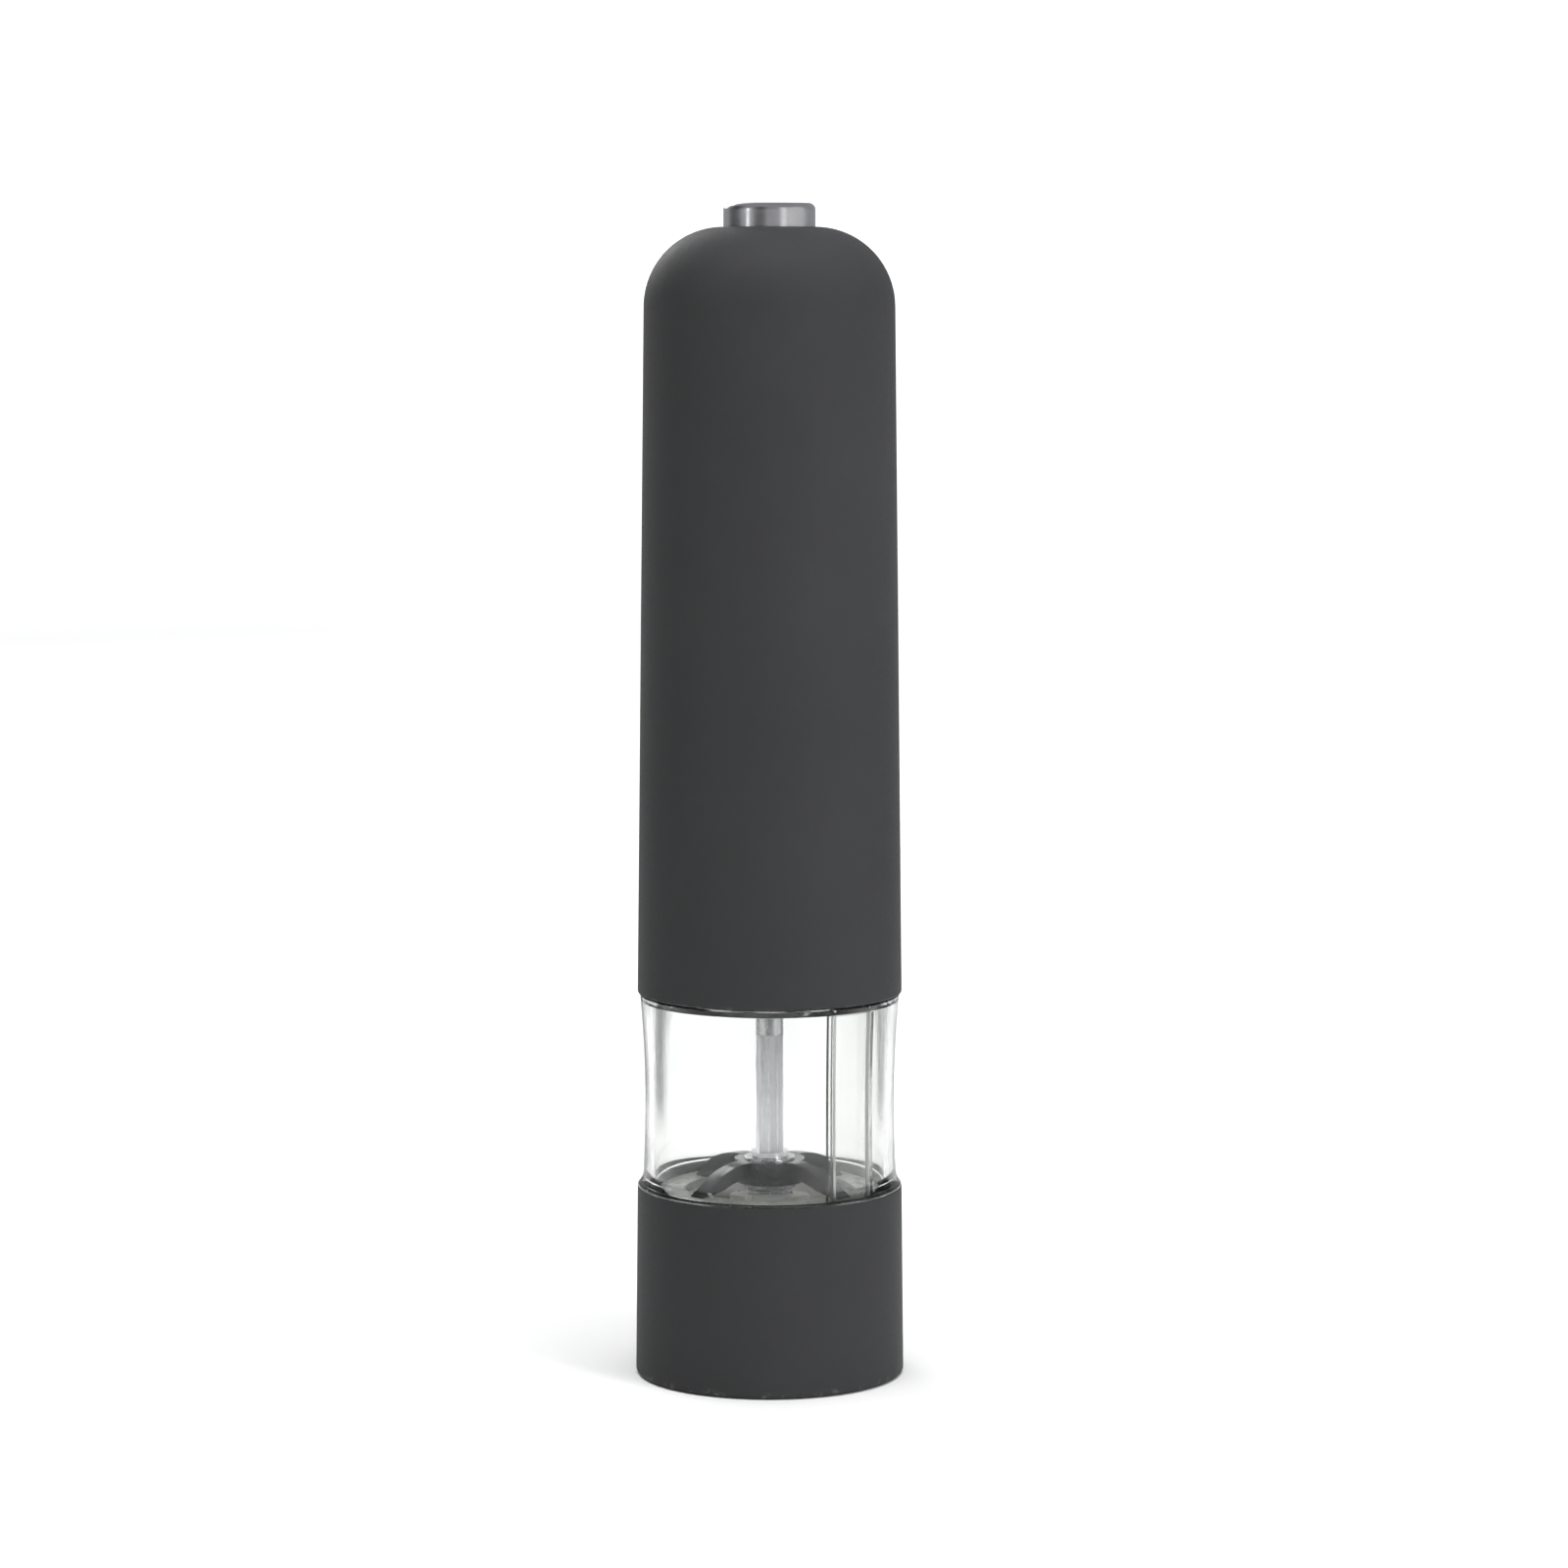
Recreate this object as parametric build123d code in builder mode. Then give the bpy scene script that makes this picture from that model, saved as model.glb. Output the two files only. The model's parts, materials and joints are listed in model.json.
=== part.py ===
"""Battery-driven pepper mill: base with burrs, clear pepper chamber, geared motor, cells and domed cover.

Millimetres, +Z up. The origin is the centre of the foot, and the front faces -Y.
"""
from build123d import *
import os
from math import acos, cos, radians, sin, tan

os.makedirs("parts", exist_ok=True)

# ---------------------------------------------------------------- outer skin
TOTAL_HEIGHT = 220.0
WALL = 1.8
FOOT_R = 25.35
BASE_TOP_R = 24.95
BASE_TOP_Z = 35.9
COVER_Z = 72.5
COVER_R = 24.85
COVER_TOP_R = 23.2
DOME_R = 14.8
DOME_Z = 215.6
BUTTON_R = 8.55
BUTTON_TRAVEL = 2.5

# ---------------------------------------------------------------- base and burrs
BASE_BORE_R = 23.0
FLANGE_GAP = 1.4
FOOT_BORE_R = 22.8
FLOOR_Z = 5.0
FLOOR_TOP_Z = 7.0
CHUTE_R = 17.3
HOUSING_R = 18.5
OUTLET_R = 15.3
LEDGE_Z = 14.0
HOUSING_WALL = 1.6
HOUSING_TOP_Z = 32.6
BOSS_R = 2.25
BOSS_TOP_Z = 16.0
SCREW_TIP_Z = 12.8
PLATE_TOP_Z = 34.4
PLATE_HOLE_R = 15.9
BOSS_CIRCLE_R = 20.6
BOSS_ANGLE = 20.0
SCREW_R = 1.1
SMALL_SCREW_R = 0.8
SMALL_HEAD_R = 1.5
RUNNING_GAP = 0.05
CLEARANCE = 0.1

# ---------------------------------------------------------------- drive shaft
SHAFT_SIDE = 4.6
SHAFT_TURN = 8.0
JOURNAL_R = 3.2
SHAFT_TOP_Z = 65.2
THREAD_R = 2.0
THREAD_TOP_Z = 12.6
KNOB_R = 7.0
KNOB_Z = 2.8
KNOB_GRIP_Z = 9.6
KNOB_TOP_Z = 12.5
KNOB_NECK_R = 4.6
ROTOR_TRAVEL = 0.7
HUB_Z = 36.2
HUB_TOP_Z = 40.6
HUB_R = 6.6
BUSH_R = 4.2
BUSH_FLANGE_R = 4.9
BUSH_TOP_Z = HUB_TOP_Z + 0.4
FERRULE_R = 2.6
FERRULE_TOP_Z = 78.0
SPINDLE_SIDE = 3.0
SOCKET_Z = SHAFT_TOP_Z + 4.0

# ---------------------------------------------------------------- jar and lamp circuit
JAR_INNER_R = 21.9
NECK_R = 22.5
NECK_INNER_R = 20.6
NECK_TOP_Z = 80.0
SPIGOT_Z = 26.0
STRIP_ANGLES = (-57.0, -35.0)
STRIP_ARC = 1.2
STRIP_INNER_R = 20.9
STRIP_OUTER_R = 21.3
STRIP_Z = 14.0
SLOT_INNER_R = 20.7
SLOT_OUTER_R = 22.5
SLOT_ARC = STRIP_ARC + 1.5
LAMP_ANGLE = -46.0
LAMP_R = 1.5
LAMP_RIM_R = 1.9
LAMP_TOP_Z = 12.0
LENS_R = 1.8

# ---------------------------------------------------------------- gearing
MODULE = 0.6
SUN_TEETH = 12
PLANET_TEETH = 18
RING_TEETH = 48
PRESSURE_ANGLE = radians(20)
ADDENDUM = 0.85 * MODULE
DEDENDUM = 1.15 * MODULE
THINNING = 0.06
GEAR_CENTRE_R = MODULE * (SUN_TEETH + PLANET_TEETH) / 2
PLANET_COUNT = 3
PLANET_THICKNESS = 4.0
PIN_R = 1.2
CARRIER_R = 12.5
CARRIER_THICKNESS = 2.0
PLANET_B_Z = 86.8
PLANET_A_Z = 93.8
STAGE_GAP = 0.4

# ---------------------------------------------------------------- power unit
CHASSIS_Z = 72.4
DECK_Z = 80.3
DECK_TOP_Z = 83.8
DECK_R = 22.6
BEARING_R = 4.0
GEARBOX_R = 17.4
GEARBOX_TOP_Z = 99.0
LID_TOP_Z = 101.0
CAGE_R = 20.2
CAGE_INNER_R = 18.8
CAN_R = 12.2
CAN_INNER_R = 11.4
CAN_TOP_Z = 131.8
LID_SCREW_CIRCLE_R = 16.25
LID_SCREW_ANGLE = BOSS_ANGLE + 60.0
LID_SCREW_Z = 94.2
ARMATURE_Z = 107.0
ARMATURE_TOP_Z = 125.0
COMMUTATOR_TOP_Z = 129.5
BOX_Z = 138.0
BOX_FLOOR_Z = 140.0
BOX_CEILING_Z = 193.0
BOX_TOP_Z = 195.0
CELL_R = 7.25
CELL_LENGTH = 50.5
CELL_OFFSET = 7.8
CONTACT_THICKNESS = 0.4
PIN_CIRCLE_R = 21.2
WIRE_R = 0.5
SWITCH_TOP_Z = 202.5

BOTTOM = (Align.CENTER, Align.CENTER, Align.MIN)


def at(radius, angle, height=0.0):
    """Point at a radius and an angle about the mill's axis."""
    return (radius * cos(radians(angle)), radius * sin(radians(angle)), height)


def rod(low, high, radius, mode=Mode.ADD):
    """Round bar, or hole, between two heights at the current locations."""
    with Locations((0, 0, low)):
        Cylinder(radius, high - low, align=BOTTOM, mode=mode)


def radial_plane(angle):
    """Upright plane through the mill's axis: x runs outwards and y upwards."""
    turn = radians(angle)
    return Plane(origin=(0, 0, 0), x_dir=(cos(turn), sin(turn), 0), z_dir=(sin(turn), -cos(turn), 0))


def turned(points, radii=0, mode=Mode.ADD, start=0.0, arc=360.0):
    """Closed outline of (radius, height) points, turned about the mill's axis."""
    with BuildSketch(radial_plane(start)) as outline:
        with BuildLine():
            FilletPolyline(*points, radius=radii, close=True)
        make_face()
    revolve(outline.sketch, axis=Axis.Z, revolution_arc=arc, mode=mode)


def sector(inner, outer, low, high, middle, arc, mode=Mode.ADD):
    """Block bent round the mill's axis, centred on an angle."""
    corners = [(inner, low), (outer, low), (outer, high), (inner, high)]
    turned(corners, mode=mode, start=middle - arc / 2, arc=arc)


def involute(angle):
    """Involute function of a pressure angle."""
    return tan(angle) - angle


def gear_points(teeth, tip_r, root_r, thinning, first_tooth=0.0):
    """Outline of a spur gear: each flank is an involute down to the base circle and radial below it."""
    pitch_r = MODULE * teeth / 2
    base_r = pitch_r * cos(PRESSURE_ANGLE)
    half_tooth = radians(90) / teeth - thinning / pitch_r + involute(PRESSURE_ANGLE)
    steps = 4
    start_r = max(base_r, root_r)
    flank = [] if root_r >= base_r else [(root_r, half_tooth)]
    for step in range(steps):
        radius = start_r + (tip_r - start_r) * step / (steps - 1)
        flank.append((radius, half_tooth - involute(acos(base_r / radius))))
    points = []
    for tooth in range(teeth):
        middle = radians(first_tooth + 360 * tooth / teeth)
        for radius, half in flank:
            points.append((radius * cos(middle - half), radius * sin(middle - half)))
        for radius, half in reversed(flank):
            points.append((radius * cos(middle + half), radius * sin(middle + half)))
    return points


def gear(teeth, low, high, first_tooth=0.0):
    """Spur gear of the train between two heights at the current locations."""
    pitch_r = MODULE * teeth / 2
    points = gear_points(teeth, pitch_r + ADDENDUM, pitch_r - DEDENDUM, THINNING / 2, first_tooth)
    with BuildSketch(Plane.XY.offset(low)) as outline:
        with BuildLine():
            Polyline(*points, close=True)
        make_face()
    extrude(outline.sketch, amount=high - low)


def square_bar(low, high, side, corner_r=0.0, mode=Mode.ADD):
    """Square bar, or square hole, on the mill's axis, turned as the drive shaft is."""
    with BuildSketch(Plane.XY.offset(low)) as outline:
        Rectangle(side, side, rotation=SHAFT_TURN)
        if corner_r > 0:
            fillet(outline.vertices(), corner_r)
    extrude(outline.sketch, amount=high - low, mode=mode)


def coil(low, high, coil_r, wire_r, turns):
    """Round-wire coil spring between two heights on the current part's axis."""
    rise = high - low - 2 * wire_r
    with BuildLine(Plane.XY.offset(low + wire_r)) as path:
        Helix(pitch=rise / turns, height=rise, radius=coil_r)
    start = path.line @ 0
    with BuildSketch(Plane(origin=start, z_dir=path.line % 0)) as wire:
        Circle(wire_r)
    sweep(wire.sketch, path=path.line, is_frenet=True)


def groove(start, end, width, depth):
    """Long V-shaped cutter along a cone's side, from one (radius, height) point to another."""
    run = Vector(end[0] - start[0], 0, end[1] - start[1])
    outward = 0.2
    face = Plane(origin=(start[0], 0, start[1]), x_dir=(0, 1, 0), z_dir=run.normalized())
    with BuildPart() as cutter:
        with BuildSketch(face):
            with BuildLine():
                Polyline((-width / 2, outward), (width / 2, outward), (0, -depth), close=True)
            make_face()
        extrude(amount=run.length)
    return cutter.part


# ================================================================ base
HEAD_R = 2.0
HEAD_HEIGHT = 1.6
DRIVE_LENGTH = 2.4
DRIVE_WIDTH = 0.6
DRIVE_DEPTH = 0.9
lamp_place = at(BOSS_CIRCLE_R, LAMP_ANGLE)

with BuildPart() as base_shell:
    turned(
        [(FOOT_BORE_R, 0), (FOOT_R, 0), (BASE_TOP_R, BASE_TOP_Z), (BASE_BORE_R, BASE_TOP_Z),
         (BASE_BORE_R, FLOOR_TOP_Z), (CHUTE_R, FLOOR_TOP_Z), (CHUTE_R, FLOOR_Z), (FOOT_BORE_R, FLOOR_Z)],
        radii=[0.3, 1.0, 0.4, 0, 0, 0, 0.3, 0.2],
    )
    with PolarLocations(BOSS_CIRCLE_R, 3, start_angle=BOSS_ANGLE):
        rod(FLOOR_Z, FLOOR_TOP_Z, SCREW_R, mode=Mode.SUBTRACT)
    with Locations(lamp_place):
        rod(FLOOR_Z, FLOOR_TOP_Z, LENS_R, mode=Mode.SUBTRACT)
base_shell.part.label = "base_shell"
export_step(base_shell.part, "parts/base_shell.step")

# The housing is a cup with a ledge under the fixed burr, a flange for the plate and three screw bosses.
with BuildPart() as burr_housing:
    rod(FLOOR_TOP_Z, HOUSING_TOP_Z, HOUSING_R)
    rod(HOUSING_TOP_Z - HOUSING_WALL, HOUSING_TOP_Z, BASE_BORE_R - FLANGE_GAP)
    with PolarLocations(BOSS_CIRCLE_R, 3, start_angle=BOSS_ANGLE):
        rod(FLOOR_TOP_Z, BOSS_TOP_Z, BOSS_R)
    with Locations(lamp_place):
        rod(FLOOR_TOP_Z, LAMP_TOP_Z, BOSS_R)
    rod(FLOOR_TOP_Z, HOUSING_TOP_Z, OUTLET_R, mode=Mode.SUBTRACT)
    rod(FLOOR_TOP_Z, LEDGE_Z - HOUSING_WALL, CHUTE_R, mode=Mode.SUBTRACT)
    rod(LEDGE_Z, HOUSING_TOP_Z, CHUTE_R, mode=Mode.SUBTRACT)
    with PolarLocations(BOSS_CIRCLE_R, 3, start_angle=BOSS_ANGLE):
        rod(FLOOR_TOP_Z, SCREW_TIP_Z + CLEARANCE, SCREW_R, mode=Mode.SUBTRACT)
    with Locations(lamp_place):
        rod(FLOOR_TOP_Z, LAMP_TOP_Z, LAMP_R + RUNNING_GAP, mode=Mode.SUBTRACT)
    for angle in STRIP_ANGLES:
        sector(SLOT_INNER_R, SLOT_OUTER_R, STRIP_Z, PLATE_TOP_Z, angle, SLOT_ARC, mode=Mode.SUBTRACT)
burr_housing.part.label = "burr_housing"
export_step(burr_housing.part, "parts/burr_housing.step")

with BuildPart() as housing_screws:
    with PolarLocations(BOSS_CIRCLE_R, 3, start_angle=BOSS_ANGLE):
        rod(FLOOR_Z, SCREW_TIP_Z, SCREW_R)
        rod(FLOOR_Z - HEAD_HEIGHT, FLOOR_Z, HEAD_R)
        with Locations((0, 0, FLOOR_Z - HEAD_HEIGHT)):
            Box(DRIVE_LENGTH, DRIVE_WIDTH, DRIVE_DEPTH, align=BOTTOM, mode=Mode.SUBTRACT)
            Box(DRIVE_WIDTH, DRIVE_LENGTH, DRIVE_DEPTH, align=BOTTOM, mode=Mode.SUBTRACT)
housing_screws.part.label = "housing_screws"
export_step(housing_screws.part, "parts/housing_screws.step")

# ---------------------------------------------------------------- burrs
BURR_GAP = 0.75
ROTOR_TOP_Z = 32.8
ROTOR_Z = 15.0
SKIRT_TOP_Z = 20.0
SKIRT_R = 13.4
SKIRT_TOP_R = 10.4
skirt_slope = (SKIRT_R - SKIRT_TOP_R) / (SKIRT_TOP_Z - ROTOR_Z)
burr_low_r = SKIRT_R + BURR_GAP + skirt_slope * (ROTOR_Z - LEDGE_Z)
burr_throat_r = SKIRT_TOP_R + BURR_GAP
THROAT_TOP_Z = 23.0
MOUTH_R = 14.9
FINE_WIDTH = 1.3
FINE_DEPTH = 0.9
COARSE_WIDTH = 2.4
COARSE_DEPTH = 1.7
FLUTE_WIDTH = 3.4
FLUTE_DEPTH = 1.5
ROTOR_NECK_R = 5.0
ROTOR_TOP_R = 7.6

ring_fine_cut = groove(
    (burr_throat_r + 0.5, SKIRT_TOP_Z + 0.8), (burr_low_r + 1.1, LEDGE_Z - 1.0), FINE_WIDTH, FINE_DEPTH
)
ring_coarse_cut = groove(
    (burr_throat_r + 1.0, SKIRT_TOP_Z - 0.5), (MOUTH_R + 1.3, HOUSING_TOP_Z + 1.0), COARSE_WIDTH, COARSE_DEPTH
)
rotor_fine_cut = groove(
    (SKIRT_TOP_R - 0.5, SKIRT_TOP_Z + 0.8), (SKIRT_R + 0.6, ROTOR_Z - 1.0), FINE_WIDTH, FINE_DEPTH
)
rotor_flute = groove(
    (ROTOR_TOP_R + 0.2, ROTOR_TOP_Z + 1.0), (SKIRT_TOP_R + 0.4, SKIRT_TOP_Z - 1.0), FLUTE_WIDTH, FLUTE_DEPTH
)

with BuildPart() as burr_ring:
    turned(
        [(burr_low_r, LEDGE_Z), (CHUTE_R, LEDGE_Z), (CHUTE_R, HOUSING_TOP_Z), (MOUTH_R, HOUSING_TOP_Z),
         (burr_throat_r, THROAT_TOP_Z), (burr_throat_r, SKIRT_TOP_Z)],
        radii=[0, 0, 0, 0.4, 0, 0],
    )
    with PolarLocations(0, 36):
        add(ring_fine_cut, mode=Mode.SUBTRACT)
    with PolarLocations(0, 12):
        add(ring_coarse_cut, mode=Mode.SUBTRACT)
burr_ring.part.label = "burr_ring"
export_step(burr_ring.part, "parts/burr_ring.step")

with BuildPart() as burr_rotor:
    turned(
        [(0, KNOB_TOP_Z + CLEARANCE), (ROTOR_NECK_R, KNOB_TOP_Z + CLEARANCE), (ROTOR_NECK_R, ROTOR_Z),
         (SKIRT_R, ROTOR_Z), (SKIRT_TOP_R, SKIRT_TOP_Z), (8.4, 24.5), (ROTOR_TOP_R, ROTOR_TOP_Z),
         (0, ROTOR_TOP_Z)],
        radii=[0, 0, 0, 0, 0, 0, 0.4, 0],
    )
    with PolarLocations(0, 30):
        add(rotor_fine_cut, mode=Mode.SUBTRACT)
    with PolarLocations(0, 6):
        add(rotor_flute, mode=Mode.SUBTRACT)
    square_bar(KNOB_TOP_Z, ROTOR_TOP_Z, SHAFT_SIDE + 2 * RUNNING_GAP, mode=Mode.SUBTRACT)
burr_rotor.part.label = "burr_rotor"
export_step(burr_rotor.part, "parts/burr_rotor.step")

# The knob's recess clears the shaft's square end when the knob is screwed right up.
RECESS_R = 3.5
GRIP_FLUTE_R = 1.1
recess_z = THREAD_TOP_Z - ROTOR_TRAVEL - 3 * CLEARANCE

with BuildPart() as adjust_knob:
    turned(
        [(THREAD_R + RUNNING_GAP, KNOB_Z), (KNOB_R, KNOB_Z), (KNOB_R, KNOB_GRIP_Z),
         (KNOB_NECK_R, KNOB_GRIP_Z),
         (KNOB_NECK_R, KNOB_TOP_Z), (RECESS_R, KNOB_TOP_Z), (RECESS_R, recess_z),
         (THREAD_R + RUNNING_GAP, recess_z)],
        radii=[0, 0.8, 0.8, 0.5, 0.3, 0, 0, 0],
    )
    with PolarLocations(KNOB_R + 0.5, 12):
        rod(KNOB_Z, KNOB_GRIP_Z, GRIP_FLUTE_R, mode=Mode.SUBTRACT)
adjust_knob.part.label = "adjust_knob"
export_step(adjust_knob.part, "parts/adjust_knob.step")

# ---------------------------------------------------------------- chamber floor and bridge
LEG_ANGLE = 45.0
LEG_WIDTH = 3.0
LEG_OUTER_R = 19.2
LEG_INNER_R = 16.4
LEG_ROOT_R = 5.6
LEG_ROOT_Z = 37.6
FOOT_CIRCLE_R = 17.8
PEG_R = 0.8

with BuildPart() as hopper_plate:
    rod(HOUSING_TOP_Z, PLATE_TOP_Z, BASE_BORE_R - FLANGE_GAP)
    rod(HOUSING_TOP_Z, PLATE_TOP_Z, PLATE_HOLE_R, mode=Mode.SUBTRACT)
    chamfer(edges().filter_by(GeomType.CIRCLE).group_by(Axis.Z)[-1].sort_by(SortBy.RADIUS)[0], 0.5)
    with PolarLocations(FOOT_CIRCLE_R, 4, start_angle=LEG_ANGLE):
        rod(HOUSING_TOP_Z, PLATE_TOP_Z, PEG_R, mode=Mode.SUBTRACT)
    for angle in STRIP_ANGLES:
        sector(SLOT_INNER_R, SLOT_OUTER_R, STRIP_Z, PLATE_TOP_Z, angle, SLOT_ARC, mode=Mode.SUBTRACT)
hopper_plate.part.label = "hopper_plate"
export_step(hopper_plate.part, "parts/hopper_plate.step")

with BuildPart() as grinder_bridge:
    rod(HUB_Z, HUB_TOP_Z, HUB_R)
    for leg in range(4):
        with BuildSketch(radial_plane(LEG_ANGLE + 90 * leg)):
            with BuildLine():
                ThreePointArc((LEG_ROOT_R, HUB_TOP_Z), (13.2, 39.3), (LEG_OUTER_R, PLATE_TOP_Z))
                Line((LEG_OUTER_R, PLATE_TOP_Z), (LEG_INNER_R, PLATE_TOP_Z))
                ThreePointArc((LEG_INNER_R, PLATE_TOP_Z), (11.8, 36.7), (LEG_ROOT_R, LEG_ROOT_Z))
                Line((LEG_ROOT_R, LEG_ROOT_Z), (LEG_ROOT_R, HUB_TOP_Z))
            make_face()
        extrude(amount=LEG_WIDTH / 2, both=True)
    fillet(edges().filter_by(GeomType.CIRCLE).group_by(SortBy.RADIUS)[-1], 0.5)
    with PolarLocations(FOOT_CIRCLE_R, 4, start_angle=LEG_ANGLE):
        rod(HOUSING_TOP_Z, PLATE_TOP_Z + 0.5, PEG_R)
    rod(HUB_Z, HUB_TOP_Z, BUSH_R, mode=Mode.SUBTRACT)
grinder_bridge.part.label = "grinder_bridge"
export_step(grinder_bridge.part, "parts/grinder_bridge.step")

with BuildPart() as shaft_bush:
    turned(
        [(JOURNAL_R + RUNNING_GAP, HUB_Z), (BUSH_R, HUB_Z), (BUSH_R, HUB_TOP_Z), (BUSH_FLANGE_R, HUB_TOP_Z),
         (BUSH_FLANGE_R, BUSH_TOP_Z), (JOURNAL_R + RUNNING_GAP, BUSH_TOP_Z)],
        radii=[0, 0, 0, 0, 0.2, 0],
    )
shaft_bush.part.label = "shaft_bush"
export_step(shaft_bush.part, "parts/shaft_bush.step")

# ---------------------------------------------------------------- drive shaft
CLIP_Z = 35.2
CLIP_THICKNESS = 0.7
GROOVE_R = 2.6
TENON_R = 1.5
TENON_LENGTH = 3.0
CLIP_R = 5.0
SHAFT_Z = 3.6
COLLAR_EDGE_R = 3.6
COLLAR_THICKNESS = 1.0
JOURNAL_LOW_Z = CLIP_Z - 1.0
collar_z = BUSH_TOP_Z + RUNNING_GAP
collar_top_z = collar_z + COLLAR_THICKNESS

with BuildPart() as drive_shaft:
    rod(SHAFT_Z, THREAD_TOP_Z, THREAD_R)
    square_bar(THREAD_TOP_Z, JOURNAL_LOW_Z, SHAFT_SIDE, corner_r=0.5)
    rod(JOURNAL_LOW_Z, collar_z, JOURNAL_R)
    rod(collar_z, collar_top_z, COLLAR_EDGE_R)
    square_bar(collar_top_z, SHAFT_TOP_Z, SHAFT_SIDE, corner_r=0.25)
    rod(SHAFT_TOP_Z, SHAFT_TOP_Z + TENON_LENGTH, TENON_R)
    turned(
        [(GROOVE_R, CLIP_Z), (CLIP_R, CLIP_Z), (CLIP_R, CLIP_Z + CLIP_THICKNESS),
         (GROOVE_R, CLIP_Z + CLIP_THICKNESS)],
        mode=Mode.SUBTRACT,
    )
drive_shaft.part.label = "drive_shaft"
export_step(drive_shaft.part, "parts/drive_shaft.step")

with BuildPart() as shaft_ferrule:
    rod(SHAFT_TOP_Z, FERRULE_TOP_Z, FERRULE_R)
    rod(SHAFT_TOP_Z, SHAFT_TOP_Z + TENON_LENGTH, TENON_R, mode=Mode.SUBTRACT)
    square_bar(SOCKET_Z, FERRULE_TOP_Z, SPINDLE_SIDE + 2 * CLEARANCE, mode=Mode.SUBTRACT)
shaft_ferrule.part.label = "shaft_ferrule"
export_step(shaft_ferrule.part, "parts/shaft_ferrule.step")

# The clip is open on one side, so that it snaps into the shaft's groove.
with BuildPart() as shaft_clip:
    rod(CLIP_Z, CLIP_Z + CLIP_THICKNESS, CLIP_R)
    rod(CLIP_Z, CLIP_Z + CLIP_THICKNESS, GROOVE_R, mode=Mode.SUBTRACT)
    with Locations((0, 3.5, CLIP_Z)):
        Box(3.6, 4.0, CLIP_THICKNESS, align=BOTTOM, mode=Mode.SUBTRACT)
shaft_clip.part.label = "shaft_clip"
export_step(shaft_clip.part, "parts/shaft_clip.step")

ROTOR_COIL_R = 4.2
ROTOR_WIRE_R = 0.25

with BuildPart() as rotor_spring:
    coil(ROTOR_TOP_Z + 0.15, CLIP_Z - 0.05, ROTOR_COIL_R, ROTOR_WIRE_R, 1.5)
rotor_spring.part.label = "rotor_spring"
export_step(rotor_spring.part, "parts/rotor_spring.step")

# ================================================================ jar and lamp circuit
PAD_INNER_R = 20.7
PAD_OUTER_R = 22.2
FOOT_LENGTH_ARC = 8.0
FOOT_SHIFT = 3.9
PAD_ARC = 6.0
PAD_THICKNESS = 0.4
SHOULDER_Z = 71.0
DUCT_INNER_R = 19.9
DUCT_WALL = 0.5
DUCT_ARC = 26.0
DUCT_TOP_Z = SHOULDER_Z - 0.2

with BuildPart() as lamp_strips:
    for angle in STRIP_ANGLES:
        inward = 1 if angle < LAMP_ANGLE else -1
        sector(STRIP_INNER_R, STRIP_OUTER_R, STRIP_Z, NECK_TOP_Z, angle, STRIP_ARC)
        sector(
            STRIP_INNER_R, STRIP_OUTER_R, STRIP_Z, STRIP_Z + 1.0, angle + FOOT_SHIFT * inward, FOOT_LENGTH_ARC
        )
        sector(PAD_INNER_R, PAD_OUTER_R, NECK_TOP_Z - PAD_THICKNESS, NECK_TOP_Z, angle, PAD_ARC)
lamp_strips.part.label = "lamp_strips"
export_step(lamp_strips.part, "parts/lamp_strips.step")

# The jar's wall is waisted outside and flares onto the base's rim; its neck stands inside the cover.
SPIGOT_R = BASE_BORE_R - RUNNING_GAP
FLARE_R = BASE_TOP_R - CLEARANCE
FLARE_TOP_Z = BASE_TOP_Z + 0.3
NECK_Z = COVER_Z - 0.3
JAR_TOP_R = 24.4
FOOT_WAIST = (23.9, 39.0)
TOP_WAIST = (24.2, 69.5)

with BuildPart() as clear_jar:
    with BuildSketch(Plane.XZ):
        with BuildLine():
            Polyline((JAR_INNER_R, SPIGOT_Z), (SPIGOT_R, SPIGOT_Z), (SPIGOT_R, BASE_TOP_Z),
                     (FLARE_R, BASE_TOP_Z), (FLARE_R, FLARE_TOP_Z))
            ThreePointArc((FLARE_R, FLARE_TOP_Z), (24.2, 37.3), FOOT_WAIST)
            ThreePointArc(FOOT_WAIST, (23.5, 53.0), TOP_WAIST)
            Polyline(TOP_WAIST, (JAR_TOP_R, NECK_Z), (NECK_R, NECK_Z), (NECK_R, NECK_TOP_Z),
                     (NECK_INNER_R, NECK_TOP_Z), (NECK_INNER_R, NECK_Z), (JAR_INNER_R, SHOULDER_Z),
                     (JAR_INNER_R, SPIGOT_Z))
        make_face()
    revolve(axis=Axis.Z)
    add(lamp_strips.part, mode=Mode.SUBTRACT)
clear_jar.part.label = "clear_jar"
export_step(clear_jar.part, "parts/clear_jar.step")

with BuildPart() as wire_duct:
    sector(DUCT_INNER_R, JAR_INNER_R, PLATE_TOP_Z, DUCT_TOP_Z, LAMP_ANGLE, DUCT_ARC)
    sector(
        DUCT_INNER_R + DUCT_WALL, STRIP_OUTER_R, PLATE_TOP_Z, DUCT_TOP_Z, LAMP_ANGLE, DUCT_ARC - 2.0,
        mode=Mode.SUBTRACT,
    )
wire_duct.part.label = "wire_duct"
export_step(wire_duct.part, "parts/wire_duct.step")

BULB_Z = 8.7
LAMP_RIM_HEIGHT = 0.8
LEG_CIRCLE_R = 21.1
LEG_SPREAD = 3.6
LEG_WIRE_R = 0.25

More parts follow.
